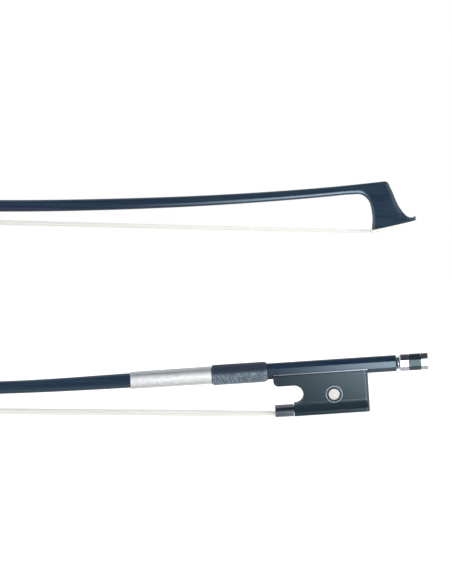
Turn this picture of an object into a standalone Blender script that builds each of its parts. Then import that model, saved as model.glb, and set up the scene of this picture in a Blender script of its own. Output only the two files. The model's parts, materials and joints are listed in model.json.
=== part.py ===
# Violin bow in its own pieces: stick, frog with ferrule and slide, screw with button, hair and grip.
# Metres. X runs along the hair from the head (-X) to the button (+X), Y across and Z up, with the hair below
# the stick. X = 0 is the middle of the overall length, Y = 0 the mirror plane, Z = 0 the lowest edge of the
# ferrule. The handle has a frame of its own: u along the handle axis towards the button, with u = 0 at the
# rear end of the stick, and w square to it, up. The frog slides along this axis and the screw turns about it.

import math

import bpy
from mathutils import Vector

MM = 0.001

# Whole bow
OVERALL_LENGTH = 745 * MM
HANDLE_TILT = math.radians(4.25)  # between the handle axis and the hair
SEAT_GAP = 0.25 * MM  # between pieces that touch
RUN_GAP = 0.2 * MM  # between the turning screw and its nut

# Stick
HANDLE_FLATS = 7.5 * MM  # across the flats of the octagonal handle
HANDLE_LEAD = 5.45 * MM  # straight stick in front of the winding, before the camber begins
HANDLE_CHAMFER = 0.45 * MM
OCTAGON_LEAD = 13 * MM  # octagon under the leather, before it starts to turn round
OCTAGON_RUNOUT = 9 * MM
SHAFT_DIAMETERS = [  # share of the way from neck to handle, diameter
    (0.0, 4.5 * MM),
    (0.1, 5.0 * MM),
    (0.2, 5.5 * MM),
    (0.3, 5.7 * MM),
    (0.9, 6.2 * MM),
    (1.0, 7.1 * MM),
]
CAMBER = [  # share of the way from neck to handle, depth below the straight line between them
    (0.1, 5.3 * MM),
    (0.2, 8.6 * MM),
    (0.3, 10.25 * MM),
    (0.6, 11.05 * MM),
    (0.9, 4.0 * MM),
]
NECK_SLOPE = -0.127  # rise of the stick towards the head where it meets the head
NECK_HEIGHT = 17.85 * MM  # stick axis at the neck above the heel of the head
RING_POINTS = 32
SHAFT_STATIONS = 26

# Head, measured from the very tip: back and front edges of its slanting sections, and half their width.
# Each row: back distance, back height, front distance, front height, half width, squareness.
# Heights are above the wooden heel of the head.
HEAD_LENGTH = 35 * MM  # from the tip to the neck, where the round shaft begins
HEAD_SECTIONS = [
    (31.5, 15.85, 30.5, 20.70, 2.25, 0.05),
    (28.8, 16.10, 25.5, 21.35, 2.30, 0.25),
    (26.9, 15.85, 21.0, 21.95, 2.35, 0.50),
    (25.2, 14.90, 18.0, 22.35, 2.40, 0.75),
    (23.7, 13.40, 15.7, 22.60, 2.45, 0.90),
    (22.9, 11.95, 14.3, 21.95, 2.50, 1.00),
    (22.4, 10.35, 13.3, 20.05, 2.60, 1.00),
    (21.9, 8.15, 11.9, 17.25, 2.85, 1.00),
    (21.6, 6.15, 10.4, 13.85, 3.20, 1.00),
    (21.4, 4.45, 9.0, 11.05, 3.65, 1.00),
    (21.4, 3.05, 7.4, 8.75, 4.10, 1.00),
    (21.4, 2.05, 5.9, 6.95, 4.50, 1.00),
    (21.45, 1.25, 4.4, 5.75, 4.85, 1.00),
    (21.5, 0.75, 2.9, 5.30, 5.00, 1.00),
    (21.5, 0.35, 0.8, 5.30, 5.10, 1.00),
]
HEEL_DISTANCE = 21.5 * MM  # heel of the head from the tip
HEEL_HALF_WIDTH = 5.15 * MM
BEAK_SHARE = 0.3  # width of the front of a section to its widest
BACK_CHAMFER = 1.3 * MM
FRONT_CHAMFER = 1.4 * MM
RIDGE_HALF_WIDTH = 0.35 * MM
BEAK_UPTURN = 0.8 * MM
BEAK_UPTURN_LENGTH = 1.6 * MM
TIP_SLOPE = math.tan(math.radians(13))  # underside of the head, rising to the beak
PLATE_THICKNESS = 0.6 * MM
LINER_THICKNESS = 0.4 * MM
NOSE_THICKNESS = 0.55 * MM
NOSE_HEIGHT = 1.9 * MM
NOSE_HALF_WIDTH = 0.55 * MM
NOSE_BEVEL = 0.2 * MM

# Head mortise, with the knot and the wedge in it
TIP_MORTISE_SETBACK = 3.2 * MM  # from the heel
TIP_MORTISE_LENGTH = 6 * MM
TIP_MORTISE_DEPTH = 6.5 * MM  # above the heel of the head
TIP_MORTISE_HALF_WIDTH = 3.3 * MM
TIP_MORTISE_TAPER = 0.7 * MM  # half width lost from mouth to bottom
TIP_WEDGE_CLEARANCE = 0.65 * MM  # from the knot down to the wedge
TIP_WEDGE_LIFT = 0.05 * MM  # above the underside of the plate
KNOT_RADIUS = 1.1 * MM

# Hair
HAIR_THICKNESS = 0.7 * MM
HAIR_SIDE_CLEARANCE = 0.4 * MM  # on each side inside the ferrule
HAIR_WIDTH_TIP = 8.6 * MM
HAIR_FAN_TIP = 0.9 * MM  # half width gained between the head mortise and the plate
HAIR_BEND = 0.6 * MM  # straight run left before and after each bend in the ferrule
HAIR_RAMP = 0.8 * MM  # from the end of the ferrule wedge to the rise over the slide

# Frog
FROG_LENGTH = 46 * MM
FROG_SETBACK = 14.3 * MM  # from the rear end of the stick to the rear of the frog
FROG_CHEEK = 0.6 * MM  # each cheek beyond the flats of the handle
LIP_WALL = 2.55 * MM  # wood of the front lip under the stick channel
LIP_RADIUS = 2.5 * MM
THROAT_HEIGHT = 9.4 * MM
THROAT_DEPTH = 14.2 * MM
THROAT_RADIUS = 4.5 * MM
FLARE_TOP = 6.4 * MM  # height above the bottom where the cheeks start to flare
FLARE_BOTTOM = 1.9 * MM
REAR_ROUND = 1.8 * MM

# Ferrule
FERRULE_LENGTH = 9 * MM
FERRULE_WIDTH = 12.6 * MM
FERRULE_HEIGHT = 5.05 * MM
FERRULE_STEP = 0.3 * MM  # from the throat floor down to the crown of the ferrule
FERRULE_WALL = 0.5 * MM
FERRULE_CORNER = 1.1 * MM
FERRULE_SIDE = 2.3 * MM  # height of the sides, below the arch
WEDGE_LENGTH = 3.5 * MM
WEDGE_TAPER = 0.8  # thickness at its inner end, as a share of the front

# Slide and frog mortise
PEARL_THICKNESS = 0.6 * MM
BACKING_THICKNESS = 0.6 * MM
SLIDE_MARGIN = 2.1 * MM  # on each side at the bottom of the frog
SLIDE_SPREAD = 0.4 * MM  # gained by each half width per millimetre and a half of height, as a dovetail
SLIDE_REAR_WALL = 3.2 * MM
HAIR_POCKET_WALL = 1.3 * MM
FROG_MORTISE_LENGTH = 8 * MM
FROG_MORTISE_HEIGHT = 7.35 * MM  # above the bottom of the frog
FROG_MORTISE_WALL = 3 * MM

# Underslide and its pins
UNDERSLIDE_THICKNESS = 0.4 * MM
PIN_RADIUS = 0.6 * MM
PIN_LENGTH = 2.3 * MM
PIN_INSET = 3.8 * MM  # from each end of the frog

# Eyes
EYE_FROM_FRONT = 29.1 * MM
EYE_ABOVE_BOTTOM = 9.25 * MM
EYE_DIAMETER = 8.6 * MM
EYE_BAND = 0.7 * MM
PEARL_DIAMETER = 5.3 * MM
EYE_DEPTH = 0.7 * MM

# Eyelet and adjusting screw
EYELET_FROM_FRONT = 23.3 * MM
EYELET_LENGTH = 4.6 * MM
EYELET_WALL = 0.65 * MM
EYELET_POST_RADIUS = 1.6 * MM
EYELET_POST_DEPTH = 5 * MM  # below the stick channel
TRAVEL_FORWARD = 2 * MM
TRAVEL_BACK = 6 * MM
TRAVEL_SPARE = 1 * MM
SCREW_RADIUS = 1.3 * MM
SPIGOT_RADIUS = 0.9 * MM
SPIGOT_LENGTH = 7.2 * MM
SPIGOT_CHAMFER = 0.3 * MM

# Button
BUTTON_SWELL = 0.2 * MM  # flats of the button beyond those of the handle
COLLAR_LENGTH = 1.1 * MM
COLLAR_INSET = 0.7 * MM  # from the flats of the button
RING_FRONT_LENGTH = 4.2 * MM
CORE_LENGTH = 5.8 * MM
RING_REAR_LENGTH = 3.4 * MM
RING_WALL = 0.5 * MM
BUTTON_CHAMFER = 0.4 * MM
CORE_RECESS = 0.3 * MM  # end of the core inside the rear ring

# Grip
LEATHER_CLEARANCE = 0.7 * MM  # left between leather and frog with the frog fully forward
LEATHER_LENGTH = 26.8 * MM
LEATHER_RISE = 1.125 * MM  # above the flats of the handle
LEATHER_TAPER = 1.6 * MM
LEATHER_EDGE = 0.35 * MM  # thickness left at its ends
LEATHER_ROUND = 0.9 * MM
LEATHER_DROP = 0.2 * MM
WINDING_LENGTH = 39.5 * MM
WIRE_DIAMETER = 0.6 * MM
WIRE_TURNS = 24
WIRE_TURN_POINTS = 24
WIRE_BEND = 1.0 * MM  # radius of the bend at each end of the winding

# What follows from these sizes, in the handle frame
handleApothem = HANDLE_FLATS / 2
linerInner = handleApothem + SEAT_GAP
linerOuter = linerInner + UNDERSLIDE_THICKNESS
channelApothem = linerOuter + SEAT_GAP
frogTopWidth = HANDLE_FLATS + 2 * FROG_CHEEK
lipUnder = -(channelApothem + LIP_WALL)
throatFloor = lipUnder - THROAT_HEIGHT
ferruleCrown = throatFloor - FERRULE_STEP
frogBottom = ferruleCrown - FERRULE_HEIGHT
frogRear = -FROG_SETBACK
frogFront = frogRear - FROG_LENGTH
throatEnd = frogFront + THROAT_DEPTH
ferruleRear = frogFront + FERRULE_LENGTH
frogShoulder = ferruleRear + SEAT_GAP

buttonFlats = HANDLE_FLATS + BUTTON_SWELL
collarDiameter = buttonFlats - 2 * COLLAR_INSET
collarFront = SEAT_GAP
ringFront = collarFront + COLLAR_LENGTH + SEAT_GAP
coreFront = ringFront + RING_FRONT_LENGTH + SEAT_GAP
coreRear = coreFront + CORE_LENGTH
ringRear = coreRear + SEAT_GAP
buttonEnd = ringRear + RING_REAR_LENGTH

# Levels inside the ferrule and over the slide, from the bottom up
hairInFerrule = frogBottom + FERRULE_WALL + SEAT_GAP
wedgeBottom = hairInFerrule + HAIR_THICKNESS + SEAT_GAP
pearlTop = frogBottom + PEARL_THICKNESS
backingBottom = pearlTop + SEAT_GAP
backingTop = backingBottom + BACKING_THICKNESS
slideRoof = backingTop + SEAT_GAP
hairOverSlide = slideRoof
hairRoof = hairOverSlide + HAIR_THICKNESS + SEAT_GAP

# Widths inside the ferrule and the frog
hairWidthFrog = FERRULE_WIDTH - 2 * (FERRULE_WALL + HAIR_SIDE_CLEARANCE)
hairPocketHalf = FERRULE_WIDTH / 2 - HAIR_POCKET_WALL
frogMortiseHalf = FERRULE_WIDTH / 2 - FROG_MORTISE_WALL
slideWidth = FERRULE_WIDTH - 2 * SLIDE_MARGIN

# The mortise in the frog stands just behind the throat
mortiseFront = throatEnd - SEAT_GAP
mortiseRear = mortiseFront + FROG_MORTISE_LENGTH
mortiseRoof = frogBottom + FROG_MORTISE_HEIGHT

eyeletRadius = SCREW_RADIUS + RUN_GAP + EYELET_WALL
eyeletCentre = frogFront + EYELET_FROM_FRONT
slotFront = eyeletCentre - EYELET_LENGTH / 2 - TRAVEL_FORWARD - TRAVEL_SPARE
slotRear = eyeletCentre + EYELET_LENGTH / 2 + TRAVEL_BACK + TRAVEL_SPARE
slotHalfWidth = eyeletRadius + SEAT_GAP
leatherRear = frogFront - TRAVEL_FORWARD - LEATHER_CLEARANCE
leatherFront = leatherRear - LEATHER_LENGTH
windingRear = leatherFront - SEAT_GAP
windingFront = windingRear - WINDING_LENGTH
handleLength = HANDLE_LEAD - windingFront
octagonLength = OCTAGON_LEAD - leatherRear

# The handle frame in the world: the ferrule's front edge is at Z = 0 and the button's end at half the length
tiltCos = math.cos(HANDLE_TILT)
tiltSin = math.sin(HANDLE_TILT)
buttonEdge = buttonFlats / 2 - BUTTON_CHAMFER
handleX = OVERALL_LENGTH / 2 - buttonEnd * tiltCos - buttonEdge * tiltSin
handleZ = -frogFront * tiltSin - frogBottom * tiltCos

# The hair stops clear of the round side of its knot at either end
knotReach = math.sqrt((KNOT_RADIUS + SEAT_GAP) ** 2 - max(KNOT_RADIUS - HAIR_THICKNESS, 0.0) ** 2)
tipKnotHalf = TIP_MORTISE_HALF_WIDTH - TIP_MORTISE_TAPER - SEAT_GAP
screwEnd = coreRear

# Levels along the hair and under the head
hairBottom = (FERRULE_WALL + SEAT_GAP) * tiltCos
hairTop = hairBottom + HAIR_THICKNESS
tipX = -OVERALL_LENGTH / 2
heelX = tipX + HEEL_DISTANCE
beakX = tipX + NOSE_THICKNESS + SEAT_GAP
linerLevel = PLATE_THICKNESS + SEAT_GAP
headLevel = linerLevel + LINER_THICKNESS + SEAT_GAP
heelZ = hairTop + SEAT_GAP + headLevel
neckX = tipX + HEAD_LENGTH
neckZ = heelZ + NECK_HEIGHT


def clear_scene():
    for obj in list(bpy.data.objects):
        bpy.data.objects.remove(obj, do_unlink=True)


def material(name, colour, roughness, metallic=0.0):
    finish = bpy.data.materials.new(name)
    finish.use_nodes = True
    shader = finish.node_tree.nodes["Principled BSDF"]
    shader.inputs["Base Color"].default_value = (*colour, 1.0)
    shader.inputs["Roughness"].default_value = roughness
    shader.inputs["Metallic"].default_value = metallic
    finish.diffuse_color = (*colour, 1.0)
    return finish


def add_piece(name, shape, finish, parent=None, smooth=None):
    """A mesh object from (vertices, faces), shaded smooth below the angle given in degrees."""
    vertices, faces = shape
    mesh = bpy.data.meshes.new(name)
    mesh.from_pydata(vertices, [], faces)
    mesh.materials.append(finish)
    if smooth:
        mesh.shade_smooth()
        mesh.set_sharp_from_angle(angle=math.radians(smooth))
    piece = bpy.data.objects.new(name, mesh)
    bpy.context.scene.collection.objects.link(piece)
    piece.parent = parent
    return piece


def add_tool(name, shape, parent=None):
    """A hidden solid that only cuts or trims other pieces."""
    vertices, faces = shape
    mesh = bpy.data.meshes.new(name)
    mesh.from_pydata(vertices, [], faces)
    tool = bpy.data.objects.new(name, mesh)
    bpy.context.scene.collection.objects.link(tool)
    tool.parent = parent
    tool.hide_render = True
    tool.display_type = "WIRE"
    return tool


def trim(piece, tool, operation="DIFFERENCE"):
    step = piece.modifiers.new(tool.name, "BOOLEAN")
    step.operation = operation
    step.solver = "EXACT"
    step.object = tool


def signed_volume(vertices, faces):
    total = 0.0
    for face in faces:
        first = Vector(vertices[face[0]])
        for a, b in zip(face[1:-1], face[2:]):
            total += first.dot(Vector(vertices[a]).cross(Vector(vertices[b])))
    return total


def loft(rings, loop=False):
    """A closed skin over rings of equal point counts, capped at its ends or joined as a loop."""
    count = len(rings[0])
    vertices = [tuple(point) for ring in rings for point in ring]
    faces = []
    for k in range(len(rings) if loop else len(rings) - 1):
        near = k * count
        far = (k + 1) % len(rings) * count
        for i in range(count):
            j = (i + 1) % count
            faces.append((near + i, near + j, far + j, far + i))
    if not loop:
        faces.append(tuple(reversed(range(count))))
        faces.append(tuple(range((len(rings) - 1) * count, len(rings) * count)))
    if signed_volume(vertices, faces) < 0:
        faces = [tuple(reversed(face)) for face in faces]
    return vertices, faces


def merge(shapes):
    """Several separate closed skins as one shape."""
    vertices, faces = [], []
    for points, sides in shapes:
        start = len(vertices)
        vertices += points
        faces += [tuple(start + i for i in side) for side in sides]
    return vertices, faces


def box(low, high):
    corners = [(low[1], low[2]), (high[1], low[2]), (high[1], high[2]), (low[1], high[2])]
    return loft([[(x, y, z) for y, z in corners] for x in (low[0], high[0])])


def prism_along(outline, start, end):
    """An outline of (y, w) points run along u."""
    return loft([[(u, y, w) for y, w in outline] for u in (start, end)])


def prism_across(outline, half_width):
    """An outline of (u, w) points run across the bow."""
    return loft([[(u, y, w) for u, w in outline] for y in (-half_width, half_width)])


def circle(radius, points, start=0.0):
    steps = [start + 2 * math.pi * k / points for k in range(points)]
    return [(radius * math.cos(a), radius * math.sin(a)) for a in steps]


def octagon(flats):
    """Corners (y, w) of an octagon with a flat at the top and at the bottom."""
    return circle(flats / 2 / math.cos(math.pi / 8), 8, math.pi / 8)


def turned(profile, points, loop=False):
    """A profile of (u, radius) turned about the handle axis."""
    return loft([[(u, y, w) for y, w in circle(r, points)] for u, r in profile], loop)


def round_across(u, w, radius, low, high, points):
    """A round bar across the bow, from one y to another."""
    return loft([[(u + a, y, w + b) for a, b in circle(radius, points)] for y in (low, high)])


def round_up(u, radius, low, high, points):
    """A round bar square to the handle axis."""
    return loft([[(u + a, b, w) for a, b in circle(radius, points)] for w in (low, high)])


def arc(centre, radius, start, end, steps):
    """Points of an arc, angles in degrees."""
    angles = [math.radians(start + (end - start) * k / steps) for k in range(steps + 1)]
    return [(centre[0] + radius * math.cos(a), centre[1] + radius * math.sin(a)) for a in angles]


def blend(a, b, share):
    return a + (b - a) * share


def read_curve(points, x, first_slope=None, last_slope=None):
    """A smooth curve through (x, value) points, read at x, with its end slopes given or left free."""
    k = max(i for i in range(len(points) - 1) if x >= points[i][0] or i == 0)
    span = points[k + 1][0] - points[k][0]

    def slope(i):
        if i == 0 and first_slope is not None:
            return first_slope
        if i == len(points) - 1 and last_slope is not None:
            return last_slope
        low, high = max(i - 1, 0), min(i + 1, len(points) - 1)
        return (points[high][1] - points[low][1]) / (points[high][0] - points[low][0])

    t = (x - points[k][0]) / span
    start = (2 * t**3 - 3 * t**2 + 1) * points[k][1] + (t**3 - 2 * t**2 + t) * span * slope(k)
    end = (3 * t**2 - 2 * t**3) * points[k + 1][1] + (t**3 - t**2) * span * slope(k + 1)
    return start + end


def to_world(u, w):
    """The (x, z) of a point of the handle frame in the mirror plane."""
    return handleX + u * tiltCos - w * tiltSin, handleZ + u * tiltSin + w * tiltCos


# Stick

cambered = to_world(-handleLength, 0)
freeLength = cambered[0] - neckX
chordRise = cambered[1] - neckZ


def stick_axis(share):
    """Height of the cambered axis, from the neck (0) to the front of the straight handle (1)."""
    line = neckZ + chordRise * share
    points = [(0.0, 0.0), *[(s, -depth) for s, depth in CAMBER], (1.0, 0.0)]
    first = NECK_SLOPE * freeLength - chordRise
    last = math.tan(HANDLE_TILT) * freeLength - chordRise
    return line + read_curve(points, share, first, last)


def handle_ring(u, grow=0.0):
    """Section of the straight handle in the handle frame: octagonal at the rear, round at the front."""
    front = SHAFT_DIAMETERS[-1][1] / 2
    roundness = min(max((-u - octagonLength) / OCTAGON_RUNOUT, 0.0), 1.0)
    share = (u + handleLength) / (handleLength - octagonLength - OCTAGON_RUNOUT)
    radius = blend(front, handleApothem, min(max(share, 0.0), 1.0))
    ring = []
    for k in range(RING_POINTS):
        angle = 2 * math.pi * k / RING_POINTS
        turn = (angle + math.pi / 8) % (math.pi / 4) - math.pi / 8
        reach = blend((handleApothem + grow) / math.cos(turn), radius + grow, roundness)
        ring.append((u, reach * math.sin(angle), -reach * math.cos(angle)))
    return ring


def shaft_ring(share):
    """Round section of the cambered shaft, square to its axis."""
    step = 0.001
    rise = (stick_axis(share + step) - stick_axis(share)) / (step * freeLength)
    tilt = math.atan(rise)
    radius = read_curve(SHAFT_DIAMETERS, share) / 2
    x, z = neckX + freeLength * share, stick_axis(share)
    ring = []
    for k in range(RING_POINTS):
        angle = 2 * math.pi * k / RING_POINTS
        low = radius * math.cos(angle)
        ring.append((x + low * math.sin(tilt), radius * math.sin(angle), z - low * math.cos(tilt)))
    return ring


def head_outline(half_width, length):
    """Half a squared section of the head as (distance from the back edge, y), from back edge to ridge."""
    back = min(BACK_CHAMFER, half_width * 0.5)
    points = [(0.0, (half_width - back) * k / 3) for k in range(4)]
    for k in range(9):
        share = k / 8
        along = blend(back / length, 1 - FRONT_CHAMFER / length, share)
        points.append((along * length, half_width * (1 - (1 - BEAK_SHARE) * along**1.5)))
    points.append((length - FRONT_CHAMFER * 0.45, blend(points[-1][1], RIDGE_HALF_WIDTH, 0.5)))
    points.append((length, RIDGE_HALF_WIDTH))
    points.append((length, RIDGE_HALF_WIDTH / 2))
    points.append((length, 0.0))
    return points


def head_ring(back, front, half_width, squareness):
    """Section of the head between a back and a front point (x, z) of the mirror plane."""
    length = math.dist(back, front)
    squared = head_outline(half_width, length)
    half = RING_POINTS // 2
    ring = []
    for k in range(RING_POINTS):
        side = 1 if k <= half else -1
        step = k if k <= half else RING_POINTS - k
        angle = math.pi * step / half
        along = blend((1 - math.cos(angle)) / 2, squared[step][0] / length, squareness)
        across = blend(half_width * math.sin(angle), squared[step][1], squareness)
        x, z = blend(back[0], front[0], along), blend(back[1], front[1], along)
        ring.append((x, side * across, z + beak_lift(x, z)))
    return ring


def tip_line(x):
    """Height of the underside of the tip plate."""
    return hairTop + SEAT_GAP + (heelX - x) * TIP_SLOPE


def beak_lift(x, z):
    """The beak turns up over its last stretch, and its underside stays straight."""
    reach = max(0.0, (beakX + BEAK_UPTURN_LENGTH - x) / BEAK_UPTURN_LENGTH)
    height = max(0.0, z - tip_line(x) - headLevel) / (0.5 * MM)
    return BEAK_UPTURN * reach**2 * min(height, 1.0)


def build_stick(handle, finish):
    under = ((heelX, heelZ), (beakX, tip_line(beakX) + headLevel))
    rings = [head_ring(*under, HEEL_HALF_WIDTH, 1.0)]
    for row in reversed(HEAD_SECTIONS):
        back = (tipX + row[0] * MM, heelZ + row[1] * MM)
        front = (tipX + row[2] * MM, heelZ + row[3] * MM)
        rings.append(head_ring(back, front, row[4] * MM, row[5]))
    rings += [shaft_ring(k / SHAFT_STATIONS) for k in range(SHAFT_STATIONS)]
    handleStations = [-handleLength, windingRear]
    handleStations += [-octagonLength - OCTAGON_RUNOUT * k / 4 for k in (4, 3, 2, 1, 0)]
    handleStations += [-HANDLE_CHAMFER]
    for u in handleStations:
        rings.append([in_world(point) for point in handle_ring(u)])
    rings.append([in_world(point) for point in handle_ring(0.0, -HANDLE_CHAMFER)])
    stick = add_piece("stick", loft(rings), finish, smooth=28)

    bore = SCREW_RADIUS + SEAT_GAP
    spigotBore = SPIGOT_RADIUS + SEAT_GAP
    hole = turned(
        [
            (slotFront - SPIGOT_LENGTH - SEAT_GAP, spigotBore),
            (slotFront + SEAT_GAP, spigotBore),
            (slotFront + SEAT_GAP, bore),
            (1 * MM, bore),
        ],
        20,
    )
    trim(stick, add_tool("screw_bore", hole, handle))
    slot = box((slotFront, -slotHalfWidth, -HANDLE_FLATS), (slotRear, slotHalfWidth, slotHalfWidth))
    trim(stick, add_tool("eyelet_slot", slot, handle))
    return stick


def in_world(point):
    x, z = to_world(point[0], point[2])
    return (x, point[1], z)


# Head mortise and what stands in it


def tip_mortise():
    """The tapered pocket that runs up through plate, liner and head."""
    front = heelX - TIP_MORTISE_SETBACK - TIP_MORTISE_LENGTH
    rear = heelX - TIP_MORTISE_SETBACK
    mouth = tip_line(rear) - 1 * MM
    roof = heelZ + TIP_MORTISE_DEPTH
    rings = []
    for z in (mouth, roof):
        y = tip_mortise_half_width(z)
        rings.append([(front, -y, z), (rear, -y, z), (rear, y, z), (front, y, z)])
    return loft(rings)


def tip_mortise_half_width(z):
    low = tip_line(heelX)
    share = (z - low) / (heelZ + TIP_MORTISE_DEPTH - low)
    return TIP_MORTISE_HALF_WIDTH - TIP_MORTISE_TAPER * share


def build_head_facing(name, low, high, finish, nose):
    """A flat facing under the head, between two levels above the underside, with or without a nose."""
    end = tipX if nose else beakX
    length = heelX - beakX
    outline = head_outline(HEEL_HALF_WIDTH, length)
    stations = [(heelX, outline[3][1])]
    stations += [(heelX - d, y) for d, y in outline[4:13]]
    rings = [facing_ring(x, y, low, high) for x, y in stations]
    if nose:
        inside = tipX + NOSE_THICKNESS
        rings.append(facing_ring(inside + NOSE_BEVEL / 4, NOSE_HALF_WIDTH, low, high))
        rings.append(facing_ring(inside, NOSE_HALF_WIDTH, low, high + NOSE_HEIGHT))
        rings.append(facing_ring(end, NOSE_HALF_WIDTH, low + NOSE_BEVEL, high + NOSE_HEIGHT))
    else:
        rings.append(facing_ring(end, NOSE_HALF_WIDTH, low, high))
    return add_piece(name, loft(rings), finish)


def facing_ring(x, y, low, high):
    z = tip_line(x)
    return [(x, -y, z + low), (x, y, z + low), (x, y, z + high), (x, -y, z + high)]


def build_tip_wedge(finish):
    front = heelX - TIP_MORTISE_SETBACK - TIP_MORTISE_LENGTH + SEAT_GAP
    rear = heelX - TIP_MORTISE_SETBACK - HAIR_THICKNESS - 2 * SEAT_GAP
    top = tip_knot_centre()[1] - KNOT_RADIUS - TIP_WEDGE_CLEARANCE
    rings = []
    for x in (front, rear):
        low = tip_line(x) + TIP_WEDGE_LIFT
        wide = tip_mortise_half_width(low) - SEAT_GAP
        narrow = tip_mortise_half_width(top) - SEAT_GAP
        rings.append([(x, -wide, low), (x, wide, low), (x, narrow, top), (x, -narrow, top)])
    return add_piece("tip_wedge", loft(rings), finish)


def tip_knot_centre():
    x = heelX - TIP_MORTISE_SETBACK - SEAT_GAP - KNOT_RADIUS
    return x, heelZ + TIP_MORTISE_DEPTH - SEAT_GAP - KNOT_RADIUS


def build_hair(finish):
    """One ribbon from the knot in the head, under the plate and along the bow to the knot in the frog.

    Each station holds the side of the ribbon that faces the wood, its outer side, and its half width."""
    wall = heelX - TIP_MORTISE_SETBACK - SEAT_GAP
    start = tip_knot_centre()[1] - knotReach
    tipHalf = HAIR_WIDTH_TIP / 2
    frogHalf = hairWidthFrog / 2
    mouth = tip_line(wall)
    stations = [
        ((wall, start), (wall - HAIR_THICKNESS, start), tipKnotHalf),
        ((wall, mouth), (wall - HAIR_THICKNESS, mouth - SEAT_GAP), tipKnotHalf + HAIR_FAN_TIP / 2),
        hair_under_plate(wall + SEAT_GAP / 2, wall - SEAT_GAP / 2, tipKnotHalf + HAIR_FAN_TIP),
        hair_under_plate(heelX - HAIR_THICKNESS / 2, heelX - HAIR_THICKNESS / 2, tipHalf),
        ((heelX + HAIR_THICKNESS, hairTop), (heelX + HAIR_THICKNESS, hairBottom), tipHalf),
    ]
    ferruleX = to_world(frogFront, frogBottom)[0] - 2 * HAIR_BEND
    stations.append(((ferruleX, hairTop), (ferruleX, hairBottom), frogHalf))
    rampStart = frogFront + WEDGE_LENGTH + HAIR_RAMP
    inside = [
        (frogFront + HAIR_BEND, hairInFerrule, frogHalf),
        (rampStart, hairInFerrule, frogHalf),
        (ferruleRear - HAIR_BEND, hairOverSlide, hairPocketHalf - 2 * SEAT_GAP),
        (mortiseFront - SEAT_GAP, hairOverSlide, frogMortiseHalf - SEAT_GAP),
    ]
    for u, w, half in inside:
        stations.append((to_world(u, w + HAIR_THICKNESS), to_world(u, w), half))
    wallU = mortiseFront + SEAT_GAP
    end = frog_knot_centre()[1] - knotReach
    half = frogMortiseHalf - SEAT_GAP
    corner = hairOverSlide + HAIR_THICKNESS
    for w, lower in ((corner + SEAT_GAP / 2, corner - SEAT_GAP), (end, end)):
        stations.append((to_world(wallU, w), to_world(wallU + HAIR_THICKNESS, lower), half))
    rings = []
    for (x1, z1), (x2, z2), y in stations:
        rings.append([(x1, -y, z1), (x1, y, z1), (x2, y, z2), (x2, -y, z2)])
    return add_piece("hair_ribbon", loft(rings), finish)


def hair_under_plate(top_x, bottom_x, half):
    top = tip_line(top_x) - SEAT_GAP
    bottom = tip_line(bottom_x) - SEAT_GAP - HAIR_THICKNESS
    return (top_x, top), (bottom_x, bottom), half


# Frog


def frog_half_width(w):
    """The cheeks stand straight at the top and flare out to the ferrule's width at the bottom."""
    top = frogTopWidth / 2
    share = (frogBottom + FLARE_TOP - w) / (FLARE_TOP - FLARE_BOTTOM)
    return top + (FERRULE_WIDTH / 2 - top) * min(max(share, 0.0), 1.0) ** 2


def frog_section(u, inset):
    """Section (y, w) of the frog across the handle, drawn in by an inset at the rounded rear edges."""
    levels = [1 * MM, frogBottom + FLARE_TOP]
    levels += [frogBottom + blend(FLARE_TOP, FLARE_BOTTOM, k / 6) for k in range(1, 7)]
    levels += [frogBottom - 1 * MM]
    right = [(u, frog_half_width(w) - inset, w) for w in levels]
    left = [(u, -y, w) for u, y, w in reversed(right)]
    return right + left


def frog_side():
    """Side view (u, w) of the frog, with the front lip, the thumb throat and the step for the ferrule."""
    lip = arc((frogFront + LIP_RADIUS, lipUnder + LIP_RADIUS), LIP_RADIUS, 180, 270, 6)
    top = arc((throatEnd - THROAT_RADIUS, lipUnder - THROAT_RADIUS), THROAT_RADIUS, 90, 0, 8)
    low = arc((throatEnd - THROAT_RADIUS, throatFloor + THROAT_RADIUS), THROAT_RADIUS, 0, -90, 8)
    return [
        (frogFront, 2 * MM),
        *lip,
        *top,
        *low,
        (frogShoulder, throatFloor),
        (frogShoulder, frogBottom),
        (frogRear, frogBottom),
        (frogRear, 2 * MM),
    ]


def ferrule_outline(inset):
    """D-shaped section (y, w) of the ferrule: flat bottom, round corners, straight sides, arched top."""
    half = FERRULE_WIDTH / 2 - inset
    bottom = frogBottom + inset
    spring = frogBottom + FERRULE_SIDE
    corner = max(FERRULE_CORNER - inset, 0.3 * MM)
    points = arc((half - corner, bottom + corner), corner, -90, 0, 4)
    rise = ferruleCrown - inset - spring
    for k in range(17):
        angle = math.pi * k / 16
        points.append((half * math.cos(angle), spring + rise * math.sin(angle)))
    return points + arc((-half + corner, bottom + corner), corner, 180, 270, 4)


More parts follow.
